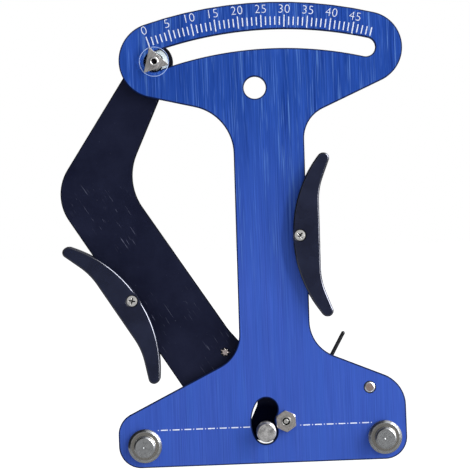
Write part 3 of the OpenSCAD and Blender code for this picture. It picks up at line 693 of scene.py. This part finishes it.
def turned_steel(name="turned_steel", colour=(0.3, 0.29, 0.28), rough=0.24, tarnish=0.6,
                 ring=None, ring_colour=(0.01, 0.01, 0.012), mottle=900, brushed=0.0):
    """Turned steel: fine rings along the profile, a cloudy tarnish down to a share of the colour,
    between the two lengths in ring another colour (used below for painted shade in recesses and
    sockets, a painted highlight on a chamfer, and a darker band on the posts), and a share of
    slanting brush marks."""
    m = new_finish(name, colour, rough, 1.0)
    along = kept_length(m)
    rings = add(m, "TexNoise", noise_dimensions="1D", W=along, Scale=9.0,
                Detail=3.0).outputs["Fac"]
    cloud = pattern(m, mottle, detail=4, rough=0.7)
    metal = ramp(m, cloud, (0.36, tuple(tarnish * c for c in colour)), (0.6, colour))
    if brushed:
        grain = pattern(m, (3200, 3200, 260), turn=(0, 0.95, 0), detail=2)
        dull = tuple(0.35 * c for c in colour)
        metal = mixed(m, product(m, span(m, grain, 0.35, 0.65, 1, 0), brushed), metal, dull)
    if ring:
        start, end = ring
        share = product(m, span(m, along, start - 0.1, start),
                        span(m, along, end, end + 0.1, 1, 0))
        metal = mixed(m, share, metal, ring_colour)
    link(m, metal, "Base Color")
    link(m, span(m, rings, 0.3, 0.7, rough - 0.08, rough + 0.1), "Roughness")
    bump(m, rings, 0.15, 0.00002)
    return m


def brushed_steel():
    """Sheet steel, brushed one way."""
    m = new_finish("brushed_sheet", (0.36, 0.35, 0.34), 0.32, 1.0)
    fine = pattern(m, (3800, 500, 160), turn=(0, 0.6, 0))
    link(m, span(m, fine, 0.3, 0.7, 0.24, 0.45), "Roughness")
    link(m, ramp(m, fine, (0.3, (0.28, 0.27, 0.27)), (0.7, (0.54, 0.525, 0.52))), "Base Color")
    return m


def moulded_black():
    """Blue-black moulded plastic with a fine satin grain, rubbed shiny on its edges."""
    m = new_finish("moulded_black", (0.005, 0.007, 0.03), 0.3, Specular_IOR_Level=0.3)
    grain = pattern(m, 2600)
    cloud = pattern(m, 60)
    colour = ramp(m, cloud, (0.3, (0.002, 0.004, 0.019)), (0.7, (0.008, 0.012, 0.037)))
    depth = kept_length(m)
    edge = product(m, span(m, depth, 0.02, 0.07), span(m, depth, 0.3, 0.5, 1, 0))
    link(m, mixed(m, edge, colour, (0.09, 0.093, 0.11)), "Base Color")
    link(m, edge, "Metallic")
    link(m, mixed_value(m, edge, span(m, cloud, 0.3, 0.7, 0.24, 0.34), 0.14), "Roughness")
    bump(m, grain, 0.15, 0.00003)
    return m


def black_wire():
    """Black oxide on steel wire and screws, worn a little brighter in places."""
    m = new_finish("black_oxide", (0.006, 0.006, 0.008), 0.4, Specular_IOR_Level=0.3)
    worn = pattern(m, 700, detail=4)
    link(m, ramp(m, worn, (0.45, (0.003, 0.003, 0.005)), (0.75, (0.02, 0.02, 0.024))),
         "Base Color")
    link(m, span(m, worn, 0.3, 0.7, 0.3, 0.5), "Roughness")
    return m


def clear_disc():
    """Clear plastic with faint marks."""
    m = new_finish("clear_plastic", (0.9, 0.92, 0.88), 0.06, Transmission_Weight=1.0,
                   IOR=1.1)
    marks = pattern(m, 500)
    link(m, span(m, marks, 0.4, 0.7, 0.01, 0.03), "Roughness")
    return m


def pale_edge():
    """Painted highlight on the edge of the clear plastic, where the light comes out: pale blue, a
    little cloudy.
    """
    m = new_finish("painted_highlight_edge", (0.3, 0.42, 0.75), 0.25)
    cloud = pattern(m, 300)
    link(m, ramp(m, cloud, (0.35, (0.16, 0.26, 0.6)), (0.65, (0.5, 0.62, 0.9))), "Base Color")
    return m


def white_nylon():
    """Milky nylon of the thrust washer."""
    m = new_finish("milky_nylon", (0.86, 0.87, 0.88), 0.45)
    cloud = pattern(m, 400)
    link(m, ramp(m, cloud, (0.3, (0.68, 0.76, 0.86)), (0.7, (0.8, 0.86, 0.93))), "Base Color")
    return m


BLUE, INK, NAVY = anodised_blue(), printed_white(), coated_navy()
STEEL, SHEET, GRIP = turned_steel(), brushed_steel(), moulded_black()
# A darker band down the foot of the shaft and over the flange's flat ring.
POST = turned_steel("post_steel", (0.5, 0.515, 0.53), 0.24, 0.7, (10.4, 12.7),
                    (0.28, 0.27, 0.25), 900, 0.5)
DULL = turned_steel("mottled_steel", (0.72, 0.71, 0.71), 0.3, 0.42, mottle=420)
NUT = turned_steel("nut_steel", (0.5, 0.47, 0.45), 0.3, 0.75)
# Painted shade: the groove in the bolt's end, the pointer screw's socket and the grip screws'
# cross recesses are near-black inside, where shade falls.
BOLT = turned_steel("bolt_steel", (0.7, 0.69, 0.67), 0.26, 0.7, (1.2, 3.1))
SOCKET = turned_steel("socket_steel", (0.75, 0.74, 0.73), 0.26, 0.7, (-1, 2.2))
SCREW = turned_steel("screw_steel", (0.85, 0.84, 0.82), 0.22, 0.8, (0.3, 5))
# Painted highlight: the rounded chamfer round the adjuster stem's face is coloured pale, standing
# in for the light it catches.
PIN = turned_steel("pin_steel", (0.44, 0.34, 0.31), 0.3, 0.8, (1.85, 3.0), (0.8, 0.82, 0.88))
BURR = turned_steel("burr_steel", (0.62, 0.54, 0.52), 0.3, 0.8)
SPACER = turned_steel("spacer_steel", (0.92, 0.93, 0.95), 0.34, 0.9)
OXIDE, CLEAR, RIM_HIGHLIGHT, NYLON = black_wire(), clear_disc(), pale_edge(), white_nylon()

# ---- plates ----


def body_plate():
    """Blue plate with the dial slot, the moving post's slot, the hanging hole and the seats."""
    kidney = arc_slot(MOVING_R + 0.4, MOVING_D + 1.6, MOVING_AT - DIAL_SWEEP - 25,
                      MOVING_AT + 2.7)
    loops = [body_outline(), arc_slot(DIAL_R, DIAL_W, SCALE_RIGHT, SCALE_LEFT), kidney,
             hole(HANG, 5)]
    loops += [hole(at, M5_HOLE) for at in (PIVOT, LEFT_POST, RIGHT_POST)]
    loops += [hole(ADJUSTER, 2.65), hole(RIGHT_GRIP, M3_HOLE)]
    pivot_bore, adjuster_bore = 4, 7
    made = plate(loops, BODY_BACK, BODY_FRONT, 0.35, fine=(pivot_bore, adjuster_bore))
    put("blue_plate", made, "body", BLUE, "blue_anodised", "body_plate")


def arm_plate():
    """Navy bell-crank plate with the holes for what is riveted and screwed to it."""
    loops = [arm_outline(), hole(PIVOT, 3.35), hole(MOVING_POST, M5_HOLE)]
    loops += [hole(at, M3_HOLE) for at in (SPRING_PIN, POINTER, LEFT_GRIP)]
    put("navy_arm", plate(loops, ARM_BACK, ARM_FRONT, 0.3), "arm", NAVY, "black_plate",
        "arm_plate")


# ---- scale ----


def scale_numerals():
    """Plain numbers 0 to 45 beyond every fifth mark, 3.7 mm high, upright on the arc."""
    middle, r, first, height = PIVOT - [4.2, 0], 183.9, DIAL_START - 1.4, 3.7
    parts = Surface([])
    for number in range(0, 50, 5):
        text = bpy.data.curves.new("number", "FONT")
        text.body, text.align_x, text.offset, text.extrude = str(number), "CENTER", -0.018, 0.01
        text.space_character = 1.05
        holder = placed("number", text)
        flat = bpy.data.meshes.new_from_object(
            holder.evaluated_get(bpy.context.evaluated_depsgraph_get()))
        bpy.data.objects.remove(holder)
        points = np.array([v.co for v in flat.vertices])
        faces = [f.vertices[:] for f in flat.polygons]
        bpy.data.meshes.remove(flat)
        low, high = points.min(0), points.max(0)
        points = (points - [(low[0] + high[0]) / 2, low[1], low[2]]) * height / (high[1] - low[1])
        turn = first - number * MARK_PITCH
        spot = middle + polar(r, 90 + turn)
        part = Surface(points, faces, flat=True)
        parts = parts + part.moved(turn_z(turn), (*spot, BODY_FRONT))
    put("scale_numerals", parts, "body", INK, "white_print")


# ---- posts, nut and bolts ----


def fixed_posts():
    """Turned posts: bevelled flange, straight shaft and a bevelled end with a centre dimple."""
    profile = eased([
        (0, 11.6, 0), (0.66, 11.92, 0.04), (0.85, 11.88, 0.04), (4.05, 11.88, 0.1),
        (4.7, 11.35, 0.15), (4.7, 5, 0.25), (6.5, 5, 0.15), (7.6, 3.9, 0.2),
        (7.6, BODY_FRONT, 0), (0, BODY_FRONT, 0)])
    for side, at in POSTS:
        put(f"{side}_spoke_post", turned(profile, at), "body", POST, "steel", f"{side}_post")


def moving_post():
    """Post on the arm: a foot in the slot, a groove for the spoke, a bevelled end, a rivet's head
    behind."""
    profile = eased([
        (0, 12, 0), (3.8, 12, 0.2), (4.4, 11.4, 0.25), (4.4, 8.8, 0.2), (3.4, 8.4, 0.4),
        (3.4, 5.7, 0.4), (4.4, 5.3, 0.2), (4.4, ARM_FRONT, 0), (2.5, ARM_FRONT, 0),
        (2.5, ARM_BACK, 0), (3.25, ARM_BACK, 0), (3.2, ARM_BACK - 0.35, 0.15),
        (2.6, ARM_BACK - 0.5, 0.2), (0, ARM_BACK - 0.5, 0)])
    put("moving_spoke_post", turned(profile, MOVING_POST), "arm", DULL, "steel", "moving_post")


def pivot_pieces():
    """Hexagon nut with its bevel, the bolt's bored end inside it, and the head at the back."""
    nut = eased([
        (2.15, 4.6, 0.03), (2.25, 4.7, 0.03), (4.45, 4.7, 0.1), (4.97, 4.45, 0), (4.97, 2.2, 0),
        (4.4, 2, 0), (2.15, 2, 0)], closed=True, longest=0.15)
    put("nut_at_pivot", turned(nut, PIVOT, closed=True, across=PIVOT_FLATS, spin=34), "body",
        NUT, "steel", "pivot_nut")
    head = -17.65
    bolt = eased([
        (0, 4.9, 0), (0.95, 4.9, 0.08), (1.08, 4.75, 0.05), (1.12, 3.9, 0), (1.68, 3.9, 0),
        (1.72, 4.85, 0.03), (1.76, 4.95, 0.03), (2.02, 4.95, 0.03), (2.1, 4.87, 0.02),
        (2.1, 1.95, 0), (2.5, 1.9, 0), (2.5, head, 0), (3.9, head, 0), (4.97, head - 0.35, 0.1),
        (4.97, head - 3.1, 0.1), (4.1, head - 3.46, 0.1), (0, head - 3.46, 0)], longest=0.35)
    put("bolt_of_pivot", turned(bolt, PIVOT, across=PIVOT_FLATS, spin=4), "body", BOLT, "steel",
        "pivot_bolt")


def post_screws():
    """Screws with a hexagon socket, drawn head up, that hold the fixed posts from behind."""
    rows = [(0, 3.2), (1.5, 3.2), (1.5, 4.85), (1.75, 5), (4.2, 5), (4.42, 4.9), (4.5, 4.6),
            (4.5, 2), (2.5, 2), (2.5, -8), (0, -8)]
    for side, at in POSTS:
        screw = turned(rows, sides=[0, 1, 1] + [0] * 8).moved(HALF_OVER, (*at, 0))
        put(f"rear_screw_{side}", screw, "body", OXIDE, "steel", f"{side}_post_screw")


# ---- spring ----

COIL_R, WIRE_R, COIL_PITCH, LEG_PLAY = 5.0, 0.9, 2.4, 0.15
LEG_ANGLE = 60.5
PIN_THICK = 2
ARM_LEG_ANGLE = PIN_AT - math.degrees(math.asin((COIL_R + PIN_THICK + WIRE_R + LEG_PLAY) / PIN_R))


def torsion_spring():
    """Wire: straight in along the arm's leg, round the coil at a steady rise, and straight out
    along the body's leg; its ends are half balls."""
    start, end = ARM_LEG_ANGLE + 90 - 360, LEG_ANGLE - 90
    wind = end - start + 360 * (3 if end > start else 4)
    rise = COIL_PITCH * wind / 360
    turn = np.linspace(0, 1, 161)
    angle = np.radians(start + wind * turn)
    coil = np.stack([PIVOT[0] + COIL_R * np.cos(angle), PIVOT[1] + COIL_R * np.sin(angle),
                     LEG_FRONT - rise * (1 - turn)], 1)
    far = coil[0] + level(ARM_LEG_ANGLE) * np.linspace(46, 2, 12)[:, None]
    near = coil[-1] + level(LEG_ANGLE) * np.linspace(2, 47.7, 12)[:, None]
    spring = put("wound_spring", carried(np.concatenate([far, coil, near]), WIRE_R), None,
                 OXIDE, "black_wire", "torsion_spring")
    back = LEG_FRONT - rise
    -(back + 1) * 0.001
    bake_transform(spring)


def spring_pin():
    """Pin staked into the arm, with raised burrs round its core in front, that the spring's leg
    bears on behind."""
    back = LEG_FRONT - COIL_PITCH * 3.34 - 1.8
    profile = eased([
        (0, -2.42, 0), (0.9, -2.42, 0.1), (1.25, -2.52, 0.1), (1.5, -2.6, 0), (1.5, ARM_BACK, 0),
        (1.95, ARM_BACK, 0.05), (PIN_THICK, ARM_BACK - 0.3, 0.1), (PIN_THICK, back + 0.4, 0.3),
        (1.6, back, 0.2), (0, back, 0)])
    put("staked_pin", turned(profile, SPRING_PIN), "arm", STEEL, "steel", "arm_spring_pin")
    a = whole_turn(96)
    spikes = abs(np.cos(3.5 * a + 0.4)) ** 5 * (0.7 + 0.3 * np.cos(2 * a + 1))
    rows = np.array([[0.9, 0.2], [1.45, 0.26], [1.8, 0.16], [2.5, 0.02], [2.5, -0.1]])
    r = 0.9 + (rows[:, :1] - 0.9) * (0.28 + 0.72 * spikes)
    z = ARM_FRONT + rows[:, 1:]
    put("staking_burrs", ringed(r, z, SPRING_PIN, ARM_FRONT + 0.18, ARM_FRONT - 0.1), "arm",
        BURR, "steel")


# ---- adjuster ----


def adjuster():
    """Flush stem and barrel, and the calibration screw with its lock nut, square to the spring's
    leg."""
    barrel = eased([
        (0, 2.12, 0), (1.85, 2.12, 0.15), (2.45, 1.75, 0.2), (2.55, -2, 0), (3.6, -2, 0),
        (4, -2.4, 0.1), (4, -10.3, 0.1), (3.6, -10.7, 0.1), (0, -10.7, 0)])
    put("adjuster_stem", turned(barrel, ADJUSTER), "body", PIN, "steel", "adjuster_barrel")
    leg_foot = PIVOT + polar(COIL_R, LEG_ANGLE - 90)
    gap = (ADJUSTER - leg_foot) @ polar(1, LEG_ANGLE - 90) - WIRE_R - LEG_PLAY
    way, side = level(LEG_ANGLE + 90), level(LEG_ANGLE)
    axes = np.stack([np.cross(side, way), side, way], 1)
    place = (*ADJUSTER, LEG_FRONT)
    tail = 9
    screw = thread(1.5, tail + gap, 0.5, 0.28)
    screw.points[:, 2] -= tail
    put("calibration_screw", screw.moved(axes, place), "body", OXIDE, "black_wire",
        "adjuster_screw")
    nut = eased([(1.45, 6.2, 0.1), (1.75, 6.4, 0.05), (2.65, 6.4, 0.05), (3.18, 6.05, 0),
                 (3.18, 4.35, 0), (2.65, 4, 0.05), (1.45, 4, 0)], closed=True, longest=0.2)
    nut = turned(nut, closed=True, across=M3_FLATS)
    put("calibration_lock_nut", nut.moved(axes, place), "body", STEEL, "steel",
        "adjuster_lock_nut")


# ---- pointer ----


def pointer():
    """White washer between arm and body, clear disc with a pale bead round its edge that paints on
    the highlight of its rim, steel triangle and socket screw."""
    disc = eased([(1.6, 3.5, 0.1), (6.7, 3.5, 0.1), (6.7, 2.4, 0.15), (1.6, 2.4, 0.1)],
                 closed=True)
    washer = eased([(4.3, -2.15, 0.1), (6.2, -2.15, 0.12), (6.2, -2.6, 0.12),
                    (4.3, -2.6, 0.1)], closed=True)
    put("white_glide_washer", turned(washer, POINTER, closed=True), "arm", NYLON, "white_nylon")
    lens = put("clear_disc", turned(disc, POINTER, 96, closed=True), "arm", CLEAR,
               "clear_plastic", "pointer_lens")
    lens.visible_shadow = False
    # Painted highlight: a pale opaque bead round the disc's rim stands in for the light that the
    # rim catches.
    bead = eased([(6.42, 3.58, 0.08), (6.74, 3.58, 0.14), (6.74, 3.3, 0.1), (6.42, 3.3, 0.08)],
                 closed=True)
    put("painted_highlight_bead", turned(bead, POINTER, 96, closed=True), "arm", RIM_HIGHLIGHT, "clear_plastic")
    corners = [POINTER + polar(6.9, 88 + DIAL_START + 120 * k) for k in range(3)]
    triangle = rounded([(x, y, 0.3) for x, y in corners], step=12)
    put("steel_pointer", plate([triangle, hole(POINTER, M3_HOLE)], 3.6, 4.4, *FINE_EDGE), "arm",
        SHEET, "steel", "pointer_plate")
    rows = [(0, 4.8), (1.15, 4.8), (1.15, 5.85), (1.42, 5.97), (1.7, 6), (1.98, 5.85), (2.1, 5.5),
            (2.1, 4.4), (1.5, 4.4), (1.5, ARM_BACK + 0.1), (1.3, ARM_BACK), (0, ARM_BACK)]
    put("pointer_socket_screw", turned(rows, POINTER, sides=[0, 1, 1] + [0] * 9), "arm", SOCKET,
        "steel", "pointer_screw")


# ---- grips ----

RIGHT_GRIP_Y, LEFT_GRIP_ALONG = 92.1, 59.8
RIGHT_TILT, LEFT_TILT = heading(WAIST_LOW, WAIST_TOP) - 90, heading(ELBOW, HEEL) - 90
WAIST_EDGE, ARM_EDGE = WAIST_TOP - WAIST_LOW, unit(HEEL - ELBOW)
RIGHT_GRIP = (WAIST_LOW + WAIST_EDGE * (RIGHT_GRIP_Y - WAIST_LOW[1]) / WAIST_EDGE[1]
              - [GRIP_INSET, 0])
LEFT_GRIP = (ELBOW + ARM_EDGE * LEFT_GRIP_ALONG
             + np.array([-ARM_EDGE[1], ARM_EDGE[0]]) * GRIP_INSET)


def grip_half(top, front):
    """Half of a grip over its parting line: a wall with a wide rounded top edge, narrower near the
    screw, a flat top with a seat sunk in it for the screw's head or the nut, and an underside."""
    loop = grip_outline()
    low_edge, seat_r, reach = 0.2, 2.8, 3.6
    profile = np.concatenate([quarter(GRIP_EDGE, top, 1, 7), quarter(low_edge, 0, -1, 2)])
    a = whole_turn(72)
    if front:
        deep, lip, sides, shape = 2.4, [(2.83, top - 0.07), (2.95, top)], None, 1 + 0 * a
    else:
        deep, lip, sides = 2.8, [(2.82, top - 0.1), (2.9, top)], [0, 1, 1, 1, 1]
        shape = hexagon(a + math.pi / 6)
    cup = [(0, top - deep), (seat_r, top - deep), (seat_r, top - 0.25)] + lip
    mouth = lip[-1][0] * shape
    mouth = np.stack([mouth * np.cos(a), mouth * np.sin(a)], 1)[::-1]
    share = np.clip((np.linalg.norm(loop, axis=1) - reach) / GRIP_EDGE, 0.05, 1)[:, None]
    rim = wall(loop, profile, share)
    rim.along = np.minimum(top - rim.points[:, 2], 1)
    seat = turned(cup, sides=sides)
    seat.along = 0 * seat.along
    if not front:
        seat.moved(turn_z(30))
    return (rim + cap([loop - outward(loop) * share * GRIP_EDGE, mouth], top)
            + cap([loop - outward(loop) * share * low_edge], 0, -1) + seat)


def grip(side, thickness, mid, tilt, at, body):
    """Both halves of a grip, its cross-recessed screw and its nut."""
    top = thickness / 2 + GRIP_H
    place = (*at, mid)
    for half in ("front", "rear"):
        shell = grip_half(top, half == "front")
        if half == "rear":
            shell.moved(HALF_OVER)
        put(f"{side}_grip_shell_{half}", shell.moved(turn_z(tilt), place), body, GRIP,
            "black_plastic", f"{side}_grip_{half}")
    head = cross_head(2.68, top - 0.4, top - 2.4, 0.6 - top, 0.45, 1.5, 0.62, 0.9)
    put(f"{side}_grip_cross_screw", head.moved(turn_z(tilt + 45), place), body, SCREW, "steel",
        f"{side}_grip_screw")
    nut = eased([(1.4, -top + 2.8, 0), (2.6, -top + 2.8, 0), (3.18, -top + 2.5, 0),
                 (3.18, -top + 0.75, 0), (2.65, -top + 0.4, 0.05), (1.7, -top + 0.4, 0.05),
                 (1.4, -top + 0.7, 0)], closed=True, longest=0.2)
    nut = turned(nut, closed=True, across=M3_FLATS)
    put(f"{side}_grip_hex_nut", nut.moved(turn_z(tilt + 30), place), body, STEEL, "steel",
        f"{side}_grip_nut")


# ---- build ----

body_plate()
arm_plate()
scale_numerals()
fixed_posts()
moving_post()
pivot_pieces()
post_screws()
torsion_spring()
spring_pin()
adjuster()
pointer()
grip("right", 4, 0, RIGHT_TILT, RIGHT_GRIP, "body")
grip("left", 3, ARM_MID, LEFT_TILT, LEFT_GRIP, "arm")

for node, finish in (("scale_marks", INK), ("spoke_line", INK), ("pivot_sleeve", STEEL),
                     ("front_collar", STEEL), ("thrust_washer", NYLON), ("rear_washer", STEEL),
                     ("pointer_spacer", SPACER)):
    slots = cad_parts[node].data.materials
    slots.clear()
    slots.append(finish)

# ---- floor, light and camera ----

FLOOR = -0.42
MIDDLE = 0, 0, -0.07


def whitened(owner, most=1.0):
    """Share of white that floor or sky adds: the most to the camera, to gloss and through clear
    plastic, none to the light on the tool."""
    path = add(owner, "LightPath").outputs
    share = path["Is Camera Ray"]
    for name in ("Is Glossy Ray", "Is Transmission Ray"):
        share = paired(owner, "MAXIMUM", share, path[name])
    return product(owner, share, most)


def sheet_of(name, corners, material):
    """Flat stage piece with four corners."""
    mesh = bpy.data.meshes.new(name)
    mesh.from_pydata(corners, [], [(0, 1, 2, 3)])
    mesh.materials.append(material)
    piece = placed(name, mesh)
    return piece


def floor():
    """Plain pale floor well below the tool, white wherever no shadow falls on it."""
    m = new_finish("pale_floor", (0.85, 0.85, 0.85), 0.8, Specular_IOR_Level=0.0,
                   Emission_Color=(1, 1, 1, 1))
    link(m, whitened(m, 0.75), "Emission Strength")
    far = 60
    sheet_of("floor", [(x * far, y * far, FLOOR) for x, y in ((-1, -1), (1, -1), (1, 1), (-1, 1))],
             m)


def reflection_card(name, x, y, z, grey):
    """Glowing card between two x, two y and two z, one pair alike, that only gloss sees: its grey
    is its glow, and the brightest cards are lights seen only in reflections.
    """
    first, last = np.array([x, y, z]).T
    side = (last - first) * ([1, 0, 0] if x[0] != x[1] else [0, 1, 0])
    corners = np.array([first, first + side, last, last - side])
    m = bpy.data.materials.new(name)
    m.use_nodes = True
    m.node_tree.nodes.clear()
    glow = add(m, "Emission", Color=(grey, grey, grey, 1))
    add(m, "OutputMaterial", Surface=glow.outputs[0])
    piece = sheet_of(name, corners.tolist(), m)
    piece.visible_camera = piece.visible_diffuse = piece.visible_transmission = False
    piece.visible_shadow = False


def sky():
    """Even grey light; white to the camera, to gloss and through clear plastic."""
    world = bpy.data.worlds.new("studio")
    bpy.context.scene.world = world
    world.use_nodes = True
    nodes = world.node_tree.nodes
    even = nodes["Background"]
    even.inputs["Color"].default_value = (0.95, 0.97, 1, 1)
    even.inputs["Strength"].default_value = 0.46
    white = add(world, "Background", Color=(1, 1, 1, 1), Strength=1)
    mix = add(world, "MixShader", whitened(world), even.outputs[0], white.outputs[0])
    feed(world, nodes["World Output"].inputs["Surface"], mix.outputs[0])


def softbox(name, at, size, power, glossy=True):
    """Soft lamp of a width and height that faces the tool's middle, seen in gloss or not."""
    lamp = bpy.data.lights.new(name, "AREA")
    lamp.shape, lamp.size, lamp.size_y = "RECTANGLE", *size
    lamp.energy = power
    piece = placed(name, lamp)
    piece.visible_transmission, piece.visible_glossy = False, glossy
    back = unit(np.array(at) - MIDDLE)
    right = unit(np.cross([0, 0, 1], back))
    axes = np.stack([right, np.cross(back, right), back], 1)
    piece.matrix_world = Matrix.Translation(at) @ Matrix(axes.tolist()).to_4x4()


def camera():
    """Face on, 1.25 m in front of the plate, turned 2.2 degrees, on a field 211.5 mm wide."""
    distance, field, sensor, turn = 1.25, 0.2115, 36, math.radians(2.2)
    eye = bpy.data.cameras.new("eye")
    eye.sensor_width, eye.lens = sensor, sensor * distance / field
    piece = placed("eye", eye)
    c, s = math.cos(turn), math.sin(turn)
    axes = Matrix(((c, s, 0), (0, 0, -1), (-s, c, 0)))
    place = Matrix.Translation((-0.01138, -0.002 - distance, -0.06596))
    piece.matrix_world = place @ axes.to_4x4()
    bpy.context.scene.camera = piece


camera()
floor()
sky()
for lamp in (("key", (1.08, -1.03, 0.51), (0.16, 1.9), 15),
             ("strip", (1.3, -0.55, 0.35), (0.12, 1.3), 6),
             ("fill", (-1.1, -1.0, 0.2), (0.7, 1.0), 3, False),
             ("low", (0.1, -0.9, -1.0), (1.2, 0.5), 7),
             ("rear", (-0.8, 1.1, 0.8), (1.0, 1.0), 14)):
    softbox(*lamp)
for card in (("card_front", (-2.2, 2.2), (-1.9, -1.9), (FLOOR, 2.6), 0.5),
             ("card_left", (-1.7, -1.7), (-1.9, 1.2), (FLOOR, 2.6), 0.03),
             ("card_top", (-1.7, 0.2), (-1.9, 1.2), (2.6, 2.6), 0.03),
             ("card_low", (-1.7, 1.7), (-1.9, 0.5), (FLOOR + 0.02, FLOOR + 0.02), 0.5),
             ("card_right", (1.7, 1.7), (-1.2, 0.6), (FLOOR, 1.3), 0.9),
             ("card_upper_right", (1.3, 1.3), (-1.2, -0.25), (0.15, 1.9), 15),
             ("card_rear", (-2.2, 2.2), (1.9, 1.9), (FLOOR, 1.6), 0.35)):
    reflection_card(*card)
bpy.context.scene.view_settings.view_transform = "Standard"
